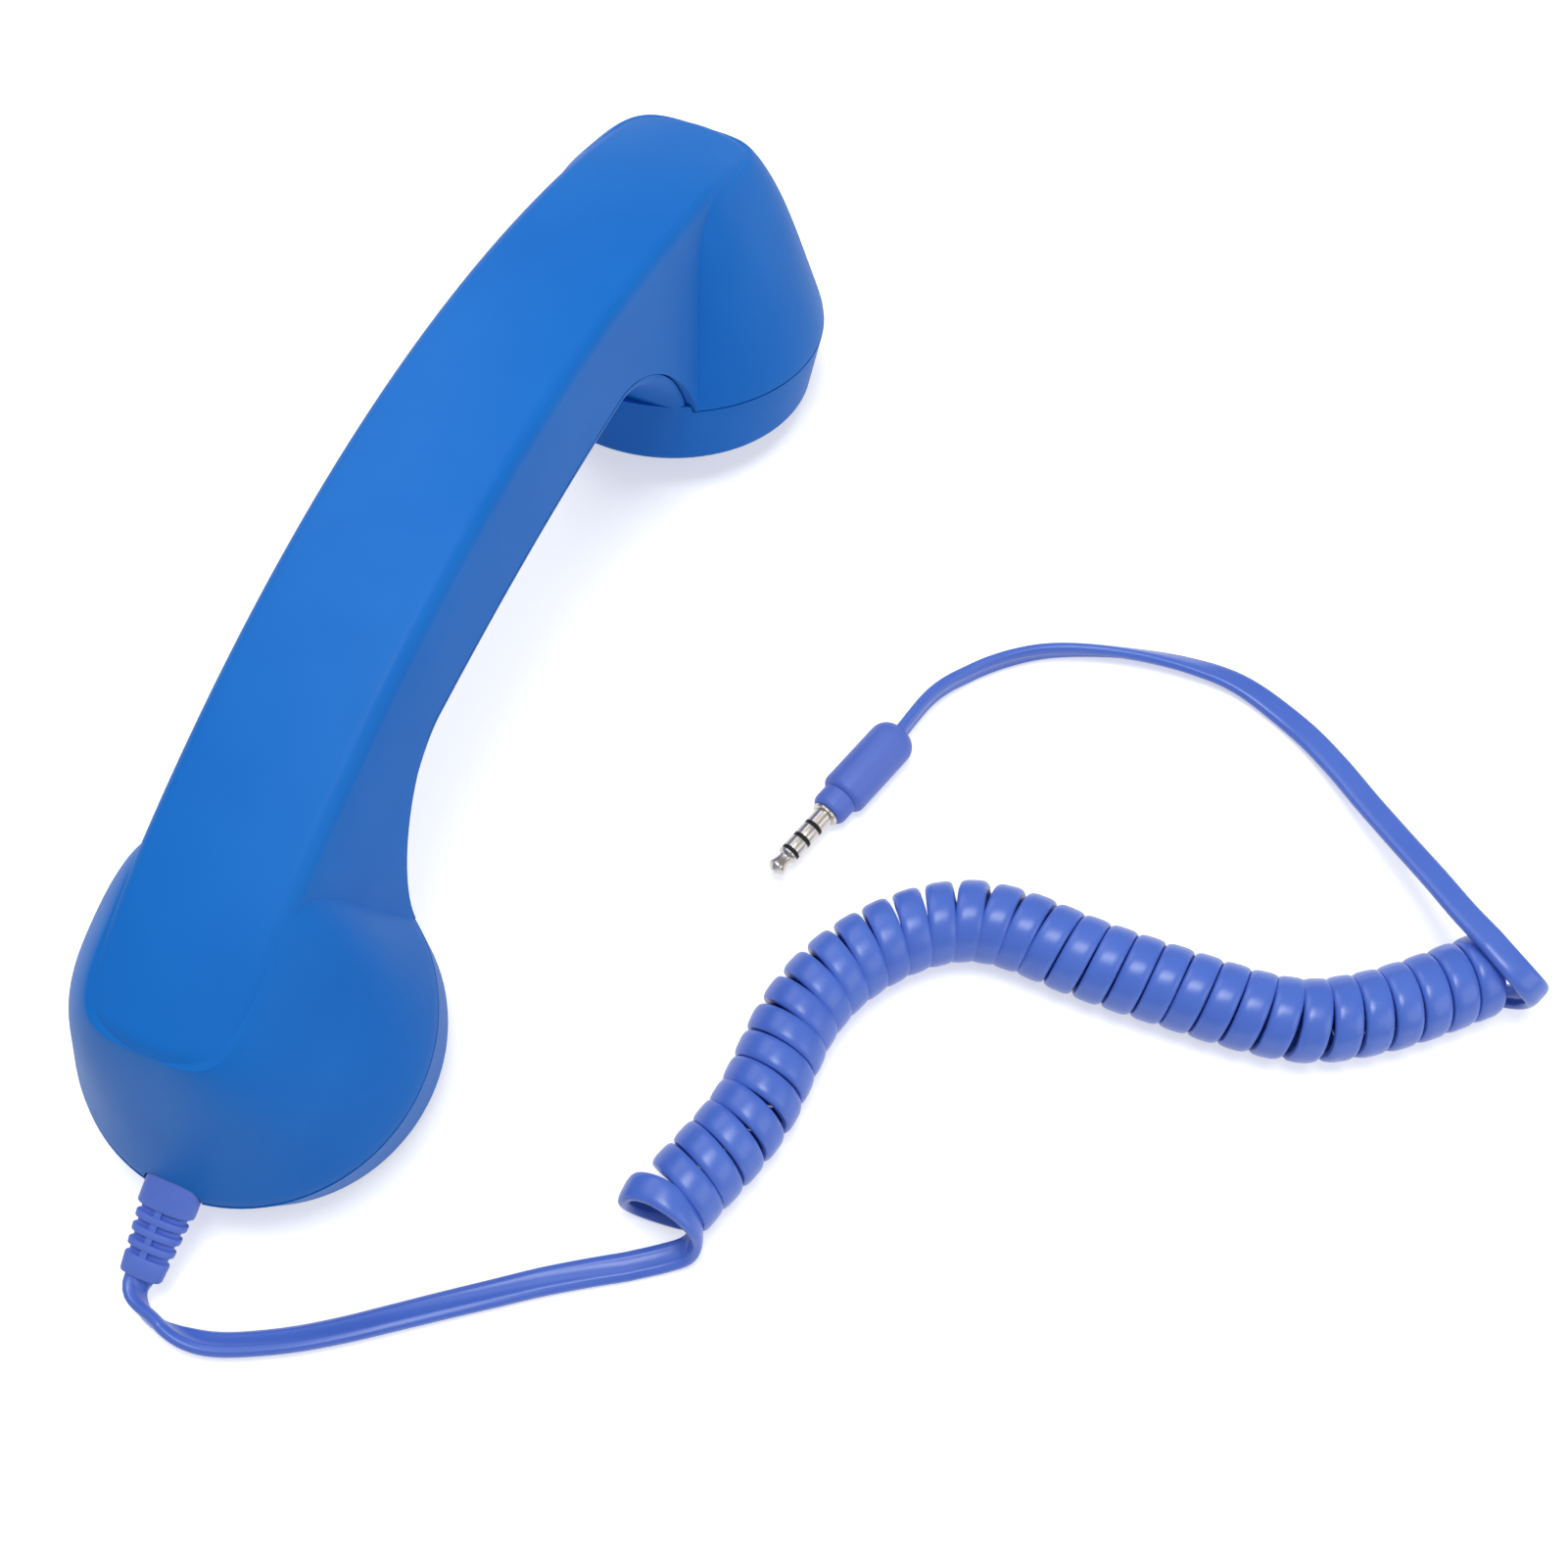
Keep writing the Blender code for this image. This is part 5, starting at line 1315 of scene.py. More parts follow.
@dataclass
class ButtonAndScrews:
    """The answer button and the two shell screws on the grip's hidden side.

    Attributes:
        finishes: The store of finishes.
        cups: Sizes of the cups.
        grip: Sizes of the grip.
        parting: Sizes of the parting line.
        button_radius: Radius of the button's cap.
        button_gap: Room round the cap.
        flange: How far the button's flange stands out.
        flange_thickness: Its thickness.
        flange_room: Height of the room for the flange.
        proud: How far the cap stands out of the grip.
        edge_share: Size of the cap's rounded edge, as a share of that.
        edge_steps: Steps round that edge.
        dish: Depth of the cap's shallow dish.
        dish_steps: Steps across the dish.
        seat_depth: Depth of the seat that holds the flange.
        screw_setback: How far the screws stand from where the parting line starts to fall.
        head_radius: Radius of a screw's head.
        head_height: Its height.
        head_edge: The head's rounded edge, across and along.
        head_steps: Steps round that edge.
        shank_radius: Radius of a screw's thread.
        screw_length: Length of a screw.
        thread_core: The thread's root, as a share of its radius.
        thread_start: Where the thread starts, from the seat.
        thread_pitch: Distance between its turns.
        thread_shares: Where its crest and its far root lie, as shares of the pitch.
        tip_share: The tip's radius, as a share of the thread's.
        recess: Length, width and height of the two bars that cut the cross recess.
        recess_turn: How far the cross is turned.
        boss_rise: Height of the screws' bosses over the parting line.
        boss_seat: Depth of the seat in them.
        gap: Room between fitted pieces.
        cutter_turns: Turns of the button's and of the screws' cutters. They keep their
            edges off the belly's.
        cutter_points: Points round these cutters.
        button_points: Points round the button.
        screw_points: Points round a screw.
        button_sharp: Angle in degrees above which an edge of the button stays sharp.
        screw_sharp: The same for a screw.
    """

    finishes: FinishStore
    cups: CupForm
    grip: GripForm
    parting: PartingForm
    button_radius: float = 0.0055
    button_gap: float = 0.00035
    flange: float = 0.0015
    flange_thickness: float = 0.0009
    flange_room: float = 0.0015
    proud: float = 0.0009
    edge_share: float = 0.6
    edge_steps: int = 7
    dish: float = 0.0003
    dish_steps: int = 9
    seat_depth: float = 0.0023
    screw_setback: float = 0.0020
    head_radius: float = 0.0026
    head_height: float = 0.0019
    head_edge: Flat = (0.0009, 0.0007)
    head_steps: int = 4
    shank_radius: float = 0.00145
    screw_length: float = 0.0105
    thread_core: float = 0.75
    thread_start: float = 0.0006
    thread_pitch: float = 0.0011
    thread_shares: Flat = (0.35, 0.70)
    tip_share: float = 0.3
    recess: Point = (0.0030, 0.0006, 0.0022)
    recess_turn: float = 0.3
    boss_rise: float = 0.0041
    boss_seat: float = 0.0025
    gap: float = 0.0003
    cutter_turns: Flat = (0.03, 0.05)
    cutter_points: Tuple[int, int] = (64, 40)
    button_points: int = 72
    screw_points: int = 36
    button_sharp: float = 40.0
    screw_sharp: float = 35.0

    def belly_bottom(self, y: float) -> float:
        """Return the height of the belly's outer surface on the centre line."""
        return self.parting.level(y) - self.grip.belly_depth

    def screw_place(self) -> float:
        """Return how far from the middle the screws stand."""
        return self.parting.neck_start(self.cups) - self.screw_setback

    def screw_seat(self) -> float:
        """Return the height of the screws' seat in their bosses."""
        return self.parting.level(self.screw_place()) + self.boss_rise - self.boss_seat

    def openings(self) -> List[Mesh]:
        """Return the cutters for the button and for the two screws."""
        seat = self.belly_bottom(0.0) + self.seat_depth
        hole = self.button_radius + self.button_gap
        wide = hole + self.flange
        low = seat - self.grip.belly_depth
        profile = [(hole, low), (hole, seat), (wide, seat), (wide, seat + self.flange_room)]
        points, turns = self.cutter_points, self.cutter_turns
        cutters = [turned("button_opening", profile, points[0], turns[0])]
        head = self.head_radius + self.gap
        high = self.screw_seat() + self.gap
        for end in End:
            y = end.value * self.screw_place()
            low = self.belly_bottom(y) - self.grip.belly_depth
            mesh = turned("screw_opening", [(head, low), (head, high)], points[1], turns[1])
            cutters.append(placed(mesh, Matrix.Translation((0.0, y, 0.0))))
        return cutters

    def button(self) -> Part:
        """Build the button with its domed cap and its flange."""
        seat = self.belly_bottom(0.0) + self.seat_depth
        flange_low = seat + self.gap
        flange_high = flange_low + self.flange_thickness
        bottom = self.belly_bottom(0.0) - self.proud
        edge = self.proud * self.edge_share
        radius = self.button_radius
        shares = [step / self.dish_steps for step in range(1, self.dish_steps)]
        profile = [((radius - edge) * share, bottom + self.dish * (1.0 - share ** 2))
                   for share in shares]
        profile += low_edge(radius, bottom, (edge, edge), self.edge_steps)
        profile += [(radius, flange_low), (radius + self.flange, flange_low),
                    (radius + self.flange, flange_high)]
        name = "answer_button_cap"
        item = link_mesh(name, turned(name, profile, self.button_points))
        return dress(item, self.finishes, Slot.SHELL, ("answer_button",), self.button_sharp,
                     Body.BUTTON)

    def recess_bar(self, turn: float, level: float) -> Mesh:
        """Return one bar of the cross recess, turned about the screw's axis."""
        bm = bmesh.new()
        bmesh.ops.create_cube(bm, size=1.0)
        bmesh.ops.scale(bm, vec=self.recess, verts=bm.verts)
        turning = Matrix.Rotation(turn + self.recess_turn, 3, "Z")
        bmesh.ops.rotate(bm, cent=(0, 0, 0), matrix=turning, verts=bm.verts)
        bmesh.ops.translate(bm, vec=(0.0, 0.0, level), verts=bm.verts)
        return close_mesh("recess_bar", bm)

    def screw(self, name: str, end: End, node: str) -> Part:
        """Build one shell screw with a cross recess.

        Args:
            name: The piece's name.
            end: The end of the handset that it stands nearer to.
            node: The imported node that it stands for.

        Returns:
            The dressed screw.
        """
        seat = self.screw_seat() - self.gap
        low = seat - self.head_height
        tip = low + self.screw_length
        core = self.shank_radius * self.thread_core
        pitch = self.thread_pitch
        crest, root = self.thread_shares
        profile = low_edge(self.head_radius, low, self.head_edge, self.head_steps)
        profile += [(self.head_radius, seat), (core, seat)]
        level = seat + self.thread_start
        while level < tip - 2.0 * pitch:
            profile += [(core, level), (self.shank_radius, level + pitch * crest),
                        (core, level + pitch * root)]
            level += pitch
        profile.append((self.shank_radius * self.tip_share, tip))
        item = link_mesh(name, turned(name, profile, self.screw_points))
        for turn in (0.0, 0.5 * math.pi):
            combine(item, self.recess_bar(turn, low), Operation.CUT)
        placed(item.data, Matrix.Translation((0.0, end.value * self.screw_place(), 0.0)))
        return dress(item, self.finishes, Slot.STEEL, (node,), self.screw_sharp)

    def build(self) -> List[Part]:
        """Build the button and both screws."""
        return [
            self.button(),
            self.screw("ear_screw_fine", End.EAR, "ear_shell_screw"),
            self.screw("mouth_screw_fine", End.MOUTH, "mouth_shell_screw"),
        ]


@dataclass
class Plug:
    """The straight plug with its collar, four contacts and three insulating bands.

    Attributes:
        finishes: The store of finishes.
        rear: Centre of the body's rear end.
        points_to: A point that the plug points to.
        radius: Radius of the body.
        body_length: Its length.
        body_edges: Radii of its rear and its front edge.
        collar_radius: Radius of the collar.
        collar_length: Its length.
        collar_edge: Its rounded edge, across and along.
        collar_steps: Steps round that edge.
        pin_radius: Radius of the pin.
        pin_length: Its length.
        flange_radius: Radius of the flange at the pin's base.
        flange_length: Its length.
        flange_edge: Size of its rounded edges.
        contact_edge: Size of a contact's rounded edges.
        front_points: Points that the contact with the flange keeps of its front edge.
        bands: Where the bands start, from the pin's base.
        band_length: Length of a band.
        band_sink: How far a band lies below the contacts.
        tip_shares: The tip's outline, as shares of its length and of the pin's radius.
        gap: Room between fitted pieces.
        edge_steps: Steps round an edge.
        segments: Points round the plug.
        sharp: Angle in degrees above which an edge stays sharp.
    """

    finishes: FinishStore
    rear: Point = (0.0708, 0.0173, 0.0041)
    points_to: Point = (0.0612, -0.0151, 0.0041)
    radius: float = 0.0041
    body_length: float = 0.0166
    body_edges: Flat = (0.0030, 0.0013)
    collar_radius: float = 0.0032
    collar_length: float = 0.0034
    collar_edge: Flat = (0.0008, 0.0012)
    collar_steps: int = 6
    pin_radius: float = 0.00175
    pin_length: float = 0.0140
    flange_radius: float = 0.0024
    flange_length: float = 0.0007
    flange_edge: float = 0.0002
    contact_edge: float = 0.00012
    front_points: int = 6
    bands: Tuple[float, float, float] = (0.0031, 0.0061, 0.0091)
    band_length: float = 0.0007
    band_sink: float = 0.00004
    tip_shares: Tuple[Flat, ...] = (
        (0.0, 1.0), (0.08, 1.0), (0.14, 0.90), (0.20, 0.68), (0.32, 0.66), (0.48, 0.74),
        (0.64, 0.86), (0.74, 0.90), (0.80, 0.86), (0.90, 0.58), (0.97, 0.34),
    )
    gap: float = 0.0003
    edge_steps: int = 8
    segments: int = 64
    sharp: float = 32.0

    def axis(self) -> Vector:
        """Return the direction from the rear to the tip."""
        return (Vector(self.points_to) - Vector(self.rear)).normalized()

    def matrix(self) -> Matrix:
        """Return the plug's frame, with its Z axis towards the tip."""
        turn = self.axis().to_track_quat("Z", "X").to_matrix().to_4x4()
        return Matrix.Translation(Vector(self.rear)) @ turn

    def piece(self, name: str, profile: Sequence[Flat], slot: Slot, node: str) -> Part:
        """Turn one piece of the plug and put it in place.

        Args:
            name: The piece's name.
            profile: Its outline, as (radius, height) points.
            slot: Its finish.
            node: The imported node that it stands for.

        Returns:
            The dressed piece.
        """
        mesh = placed(turned(name, profile, self.segments), self.matrix())
        return dress(link_mesh(name, mesh), self.finishes, slot, (node,), self.sharp)

    def rounded(self, radius: float, low: float, high: float, edges: Flat) -> List[Flat]:
        """Return a round bar's outline, with the radii of its low and its high edge."""
        rear, front = edges
        return (low_edge(radius, low, (rear, rear), self.edge_steps)
                + high_edge(radius, high, (front, front), self.edge_steps))

    def body(self) -> List[Part]:
        """Build the moulded body and its collar."""
        body = self.rounded(self.radius, 0.0, self.body_length, self.body_edges)
        low = self.body_length
        high = low + self.gap + self.collar_length
        edge = high_edge(self.collar_radius, high, self.collar_edge, self.collar_steps)
        collar = [(self.collar_radius, low)] + edge
        return [
            self.piece("plug_body_fine", body, Slot.PLUG, "plug_body"),
            self.piece("plug_collar_fine", collar, Slot.PLUG, "plug_collar"),
        ]

    def contacts(self) -> List[Part]:
        """Build the four contacts and the three bands between them."""
        base = self.body_length + self.collar_length + 2.0 * self.gap
        names = ("plug_sleeve", "plug_ring_rear", "plug_ring_front")
        radius = self.pin_radius
        low = base - self.gap
        made = []
        for index, (band, node) in enumerate(zip(self.bands, names)):
            stop = base + band
            profile = self.rounded(radius, low, stop, (self.contact_edge,) * 2)
            if index == 0:
                top = low + self.flange_length
                flange = self.rounded(self.flange_radius, low, top, (self.flange_edge,) * 2)
                profile = flange + [(radius, top)] + profile[-self.front_points:]
            made.append(self.piece(node + "_fine", profile, Slot.METAL, node))
            high = stop + self.band_length
            ring = [(radius - self.band_sink, stop), (radius - self.band_sink, high)]
            band_node = f"plug_insulator_{index + 1}"
            made.append(self.piece(band_node + "_fine", ring, Slot.BAND, band_node))
            low = high
        reach = base + self.pin_length - low
        tip = [(radius * width, low + share * reach) for share, width in self.tip_shares]
        made.append(self.piece("plug_tip_fine", tip, Slot.METAL, "plug_tip"))
        return made

    def build(self) -> List[Part]:
        """Build every piece of the plug."""
        return self.body() + self.contacts()


@dataclass
class CordStation:
    """One point of the cord's line with the direction of its flat width."""

    spot: Vector
    width: Vector


@dataclass
class FlatCord:
    """The flat cord: a lead, a curly length wound with its flat side out, and a lead.

    Attributes:
        finishes: The store of finishes.
        relief: The strain relief that it leaves.
        plug: The plug that it ends in.
        half_width: Half of the cord's width.
        half_thickness: Half of its thickness.
        coil_radius: Distance of the cord's line from the curl's axis.
        coil_level: Height of the curl's axis.
        pitch: Distance between the curl's turns.
        turns: Number of turns of the curl, the open first one not among them.
        first_run: How far along the axis they start.
        first_angle: Where they start, in degrees round the axis.
        turn_points: Points of a turn.
        spacing: Distance between the other stretches' points.
        axis_spacing: Distance between the points of the curl's axis.
        axis_window: How many of them before and after a point give its direction.
        route_steps: Steps of the smooth curve between two points of a route.
        floor_gap: Room between the cord and the floor.
        relief_ends: Where the line leaves the relief, from the relief's end.
        plug_grip: How far the line runs into the plug.
        stand: How the cord stands up at the relief: degrees, place and spread, as shares.
        lean: How it leans from there to the curl: degrees, and the share where it starts.
        plug_roll: How it turns on its edge at the plug: degrees, start and run, as shares.
        section_points: Points round the section.
        section_powers: Squareness of the section across its width and its thickness.
        ridge: The inner side's ridges: height, place and width, as shares.
        hollow: The hollow between them: depth and width, as shares.
        lead_bend: The lead's bend at the relief, from the relief's end.
        lead_route: The lead's points from there to the curl.
        first_turn_route: Points of the open first turn.
        coil_route: The curl's axis, seen from above.
        fold_route: Points of the fold that turns the cord back over the last turns.
        plug_lead_route: Points of the lead from the fold to the plug.
        sharp: Angle in degrees above which an edge stays sharp.
    """

    finishes: FinishStore
    relief: StrainRelief
    plug: Plug
    half_width: float = 0.0023
    half_thickness: float = 0.0010
    coil_radius: float = 0.0058
    coil_level: float = 0.0069
    pitch: float = 0.00478
    turns: float = 32.9
    first_run: float = 0.0043
    first_angle: float = -45.0
    turn_points: int = 28
    spacing: float = 0.0008
    axis_spacing: float = 0.0005
    axis_window: Tuple[int, int] = (6, 7)
    route_steps: int = 24
    floor_gap: float = 0.0001
    relief_ends: Flat = (-0.0012, 0.0016)
    plug_grip: float = 0.0010
    stand: Point = (62.0, 0.09, 0.07)
    lean: Flat = (42.0, 0.10)
    plug_roll: Point = (90.0, 0.35, 0.50)
    section_points: int = 48
    section_powers: Flat = (3.2, 2.6)
    ridge: Point = (0.10, 0.55, 0.11)
    hollow: Flat = (0.20, 0.40)
    lead_bend: Tuple[Point, ...] = (
        (0.0010, -0.0029, -0.0017), (0.0032, -0.0042, -0.0033), (0.0062, -0.0048, -0.0045),
        (0.0098, -0.0047, -0.0050), (0.0136, -0.0039, -0.0051),
    )
    lead_route: Tuple[Point, ...] = (
        (0.0181, -0.1193, 0.0013), (0.0246, -0.1157, 0.0013), (0.0308, -0.1115, 0.0013),
        (0.0370, -0.1068, 0.0013), (0.0430, -0.1022, 0.0013), (0.0491, -0.0976, 0.0013),
        (0.0552, -0.0930, 0.0013), (0.0612, -0.0889, 0.0013), (0.0665, -0.0855, 0.0013),
    )
    first_turn_route: Tuple[Point, ...] = (
        (0.0715, -0.0819, 0.0015), (0.0742, -0.0797, 0.0024), (0.0751, -0.0779, 0.0054),
        (0.0744, -0.0770, 0.0092), (0.0715, -0.0762, 0.0121), (0.0677, -0.0757, 0.0128),
        (0.0643, -0.0758, 0.0113), (0.0629, -0.0763, 0.0078), (0.0637, -0.0759, 0.0040),
        (0.0665, -0.0752, 0.0014), (0.0700, -0.0748, 0.0011), (0.0728, -0.0744, 0.0015),
    )
    coil_route: Tuple[Flat, ...] = (
        (0.0694, -0.0775), (0.0706, -0.0722), (0.0724, -0.0668), (0.0743, -0.0604),
        (0.0753, -0.0545), (0.0754, -0.0469), (0.0757, -0.0390), (0.0778, -0.0312),
        (0.0818, -0.0239), (0.0876, -0.0173), (0.0949, -0.0126), (0.1029, -0.0111),
        (0.1132, -0.0113), (0.1215, -0.0111), (0.1296, -0.0106), (0.1377, -0.0101),
        (0.1456, -0.0091), (0.1523, -0.0071), (0.1599, -0.0024), (0.1665, 0.0031),
        (0.1727, 0.0091), (0.1762, 0.0126),
    )
    fold_route: Tuple[Point, ...] = (
        (0.1796, 0.0113, 0.0022), (0.1822, 0.0110, 0.0044), (0.1832, 0.0103, 0.0078),
        (0.1826, 0.0092, 0.0112), (0.1805, 0.0090, 0.0138), (0.1774, 0.0104, 0.0149),
    )
    plug_lead_route: Tuple[Point, ...] = (
        (0.1730, 0.0133, 0.0150), (0.1682, 0.0171, 0.0135), (0.1626, 0.0225, 0.0110),
        (0.1558, 0.0291, 0.0075), (0.1490, 0.0355, 0.0045), (0.1421, 0.0415, 0.0026),
        (0.1341, 0.0468, 0.0014), (0.1229, 0.0510, 0.0013), (0.1129, 0.0512, 0.0013),
        (0.1014, 0.0490, 0.0013), (0.0902, 0.0448, 0.0013), (0.0828, 0.0398, 0.0016),
        (0.0768, 0.0334, 0.0024), (0.0729, 0.0264, 0.0034),
    )
    sharp: float = 60.0

    def smooth(self, route: Sequence[Sequence[float]], spacing: float) -> List[Vector]:
        """Return evenly spaced points of a smooth curve through a route.

        Args:
            route: The route's own points.
            spacing: The wanted distance between points.

        Returns:
            The points, the route's two ends among them.
        """
        nodes = [Vector(point) for point in route]
        nodes = [nodes[0] * 2.0 - nodes[1]] + nodes + [nodes[-1] * 2.0 - nodes[-2]]
        fine = []
        for index in range(1, len(nodes) - 2):
            before, here, there, after = nodes[index - 1:index + 3]
            start = there - before
            middle = 2.0 * before - 5.0 * here + 4.0 * there - after
            stop = 3.0 * here - before - 3.0 * there + after
            for step in range(self.route_steps):
                share = step / self.route_steps
                fine.append(0.5 * ((2.0 * here) + start * share + middle * share ** 2
                                   + stop * share ** 3))
        fine.append(nodes[-2])
        lengths = [0.0]
        for before, after in zip(fine, fine[1:]):
            lengths.append(lengths[-1] + (after - before).length)
        count = max(int(round(lengths[-1] / spacing)), 2)
        points = []
        cursor = 0
        for step in range(count + 1):
            target = lengths[-1] * step / count
            while cursor < len(lengths) - 2 and lengths[cursor + 1] < target:
                cursor += 1
            share = (target - lengths[cursor]) / (lengths[cursor + 1] - lengths[cursor])
            points.append(fine[cursor].lerp(fine[cursor + 1], share))
        return points

    def curl(self) -> List[CordStation]:
        """Return the curly length, wound about its bending axis."""
        route = [(x, y, self.coil_level) for x, y in self.coil_route]
        axis = self.smooth(route, self.axis_spacing)
        spacing = (axis[1] - axis[0]).length
        last = len(axis) - 1
        back, ahead = self.axis_window
        above = Vector((0.0, 0.0, 1.0))
        stations = []
        for step in range(int(self.turns * self.turn_points) + 1):
            turn = step / self.turn_points
            place = (self.first_run + self.pitch * turn) / spacing
            index = min(int(place), last - 1)
            centre = axis[index] + (axis[index + 1] - axis[index]) * (place - index)
            along = (axis[min(index + ahead, last)] - axis[max(index - back, 0)]).normalized()
            side = along.cross(above).normalized()
            angle = math.radians(self.first_angle) + 2.0 * math.pi * turn
            out = side * math.cos(angle) + above * math.sin(angle)
            stations.append(CordStation(centre + out * self.coil_radius, along))
        return stations

    def rolled(
        self, points: List[Vector], facing: Facing, roll: Callable[[float], float]
    ) -> List[CordStation]:
        """Give each point of a lead the direction of its flat width.

        Args:
            points: The lead's points.
            facing: The side that shows on top where the cord lies level.
            roll: The roll about the line, in degrees, as a function of the share of it.

        Returns:
            The lead's stations, lifted so that the rolled cord lies on the floor.
        """
        stations = []
        for index, spot in enumerate(points):
            tangent = course(points, index)
            turn = Matrix.Rotation(math.radians(roll(index / (len(points) - 1))), 3, tangent)
            level = Vector((0.0, 0.0, 1.0)).cross(tangent).normalized()
            width = turn @ (level * facing.value)
            need = (self.half_width - self.half_thickness) * abs(width.z) + self.half_thickness
            lifted = Vector((spot.x, spot.y, max(spot.z, need + self.floor_gap)))
            stations.append(CordStation(lifted, width))
        return stations

    def lead(self) -> List[CordStation]:
        """Return the lead from the strain relief to the first turn."""
        sleeve = self.relief.matrix()
        ends = [self.relief.length + reach for reach in self.relief_ends]
        route = [tuple(sleeve @ Vector((0.0, 0.0, reach))) for reach in ends]
        corner = sleeve @ Vector((0.0, 0.0, self.relief.length + self.relief.gap))
        route += [tuple(corner + Vector(step)) for step in self.lead_bend]
        points = self.smooth(route + list(self.lead_route), self.spacing)

        def roll(share: float) -> float:
            """Stand the cord up in its tight bend and lay it down towards the curl."""
            steepest, place, run = self.stand
            steep, rise = self.lean
            up = math.exp(-((share - place) / run) ** 2)
            return -(steepest * up + steep * (1.0 - share) * min(share / rise, 1.0))

        return self.rolled(points, Facing.RIDGED, roll)

    def plug_lead(self) -> List[CordStation]:
        """Return the lead from the fold to the plug."""
        stop = Vector(self.plug.rear) + self.plug.axis() * self.plug_grip
        points = self.smooth(list(self.plug_lead_route) + [tuple(stop)], self.spacing)

        def roll(share: float) -> float:
            """Lay the cord flat at first and stand it on its edge at the plug."""
            steepest, place, run = self.plug_roll
            return steepest * eased(min(max((share - place) / run, 0.0), 1.0))

        return self.rolled(points, Facing.SMOOTH, roll)

    def joined(
        self, before: CordStation, route: Sequence[Point], after: CordStation,
        carried: bool = False, lateness: int = 1,
    ) -> List[CordStation]:
        """Return the stretch that joins two others.

        Args:
            before: The first one's last station.
            route: The stretch's own points.
            after: The second one's first station.
            carried: Whether the bends carry the width along before it is eased.
            lateness: 1 if the width is eased all along, more if it is eased late.

        Returns:
            The stations between the two.
        """
        whole = [tuple(before.spot)] + list(route) + [tuple(after.spot)]
        points = self.smooth(whole, self.spacing)
        stations = []
        width = before.width
        for index, spot in enumerate(points[1:-1], start=1):
            if carried:
                width = square_to(width, course(points, index))
            share = eased(index / (len(points) - 1)) ** lateness
            stations.append(CordStation(spot, width.lerp(after.width, share).normalized()))
        return stations

    def line(self) -> List[CordStation]:
        """Return the whole cord's stations, from the strain relief to the plug."""
        lead, curl, plug_lead = self.lead(), self.curl(), self.plug_lead()
        first_turn = self.joined(lead[-1], self.first_turn_route, curl[0])
        fold = self.joined(curl[-1], self.fold_route, plug_lead[0], carried=True, lateness=3)
        return lead + first_turn + curl + fold + plug_lead

    def section(self) -> List[Flat]:
        """Return the cord's section: smooth outside, with two fine ridges inside."""
        wide_power, deep_power = self.section_powers
        height, place, run = self.ridge
        depth, reach = self.hollow
        points = []
        for step in range(self.section_points):
            angle = 2.0 * math.pi * step / self.section_points
            across = self.half_width * signed_power(math.cos(angle), 2.0 / wide_power)
            up = self.half_thickness * signed_power(math.sin(angle), 2.0 / deep_power)
            if up > 0.0:
                ridge = math.exp(-((abs(across) / self.half_width - place) / run) ** 2)
                middle = math.exp(-(across / (reach * self.half_width)) ** 4)
                up *= 1.0 + height * ridge - depth * middle
            points.append((across, up))
        return points

    def build(self) -> Tuple[Part, List[Vector]]:
        """Sweep the section along the whole line.

        Returns:
            The cord and the points that it follows.
        """
        line = self.line()
        spots = [station.spot for station in line]
        outline = self.section()
        rings = []
        for index, station in enumerate(line):
            tangent = course(spots, index)
            width = square_to(station.width, tangent)
            up = tangent.cross(width)
            rings.append([tuple(station.spot + width * x + up * y) for x, y in outline])
        cord = link_mesh("cord", loft("cord", rings))
        nodes = ("cord_lead", "cord_coil", "cord_plug_lead")
        return dress(cord, self.finishes, Slot.CORD, nodes, self.sharp), spots


@dataclass(frozen=True)
class CameraRig:
    """The camera, placed by its aim on the floor, its direction and its distance."""

    azimuth: float = 24.2
    elevation: float = 62.5
    roll: float = -1.0
    focal_pixels: float = 2150.0
    frame_pixels: float = 1601.0
    target: Point = (0.0553, 0.0020, 0.0)
    distance: float = 0.366
    sensor: float = 36.0
    clip: Flat = (0.01, 20.0)

    def build(self) -> Part:
        """Make the camera and hand it to the scene.

        Returns:
            The camera.
        """
        azimuth, elevation = math.radians(self.azimuth), math.radians(self.elevation)
        back = Vector((math.sin(azimuth) * math.cos(elevation),
                       -math.cos(azimuth) * math.cos(elevation), math.sin(elevation)))
        right = Vector((math.cos(azimuth), math.sin(azimuth), 0.0))
        up = back.cross(right)
        roll = math.radians(self.roll)
        right_rolled = right * math.cos(roll) + up * math.sin(roll)
        up_rolled = up * math.cos(roll) - right * math.sin(roll)
        basis = Matrix((right_rolled, up_rolled, back)).transposed().to_4x4()
        data = bpy.data.cameras.new("camera")
        data.sensor_width = self.sensor
        data.lens = self.focal_pixels / self.frame_pixels * self.sensor
        data.clip_start, data.clip_end = self.clip
        camera = bpy.data.objects.new("camera", data)
        bpy.context.scene.collection.objects.link(camera)
        camera.matrix_world = Matrix.Translation(Vector(self.target) + back * self.distance) @ basis
        bpy.context.scene.camera = camera
        return camera


@dataclass(frozen=True)
class SoftLamp:
    """One large soft lamp.

    Attributes:
        name: The lamp's name.
        place: Its place.
        size: Width and height of its face.
        power: Its power in watts.
    """

    name: str
    place: Point
    size: Flat
    power: float

    def build(self, aim: Point) -> Part:
        """Make the lamp.

        Args:
            aim: The point that it faces.

        Returns:
            The lamp.
        """
        data = bpy.data.lights.new(self.name, "AREA")
        data.shape = "RECTANGLE"
        data.size, data.size_y = self.size
        data.energy = self.power
        lamp = bpy.data.objects.new(self.name, data)
        bpy.context.scene.collection.objects.link(lamp)
        lamp.location = self.place
        direction = Vector(self.place) - Vector(aim)
        lamp.rotation_mode = "QUATERNION"
        lamp.rotation_quaternion = direction.to_track_quat("Z", "Y")
        return lamp


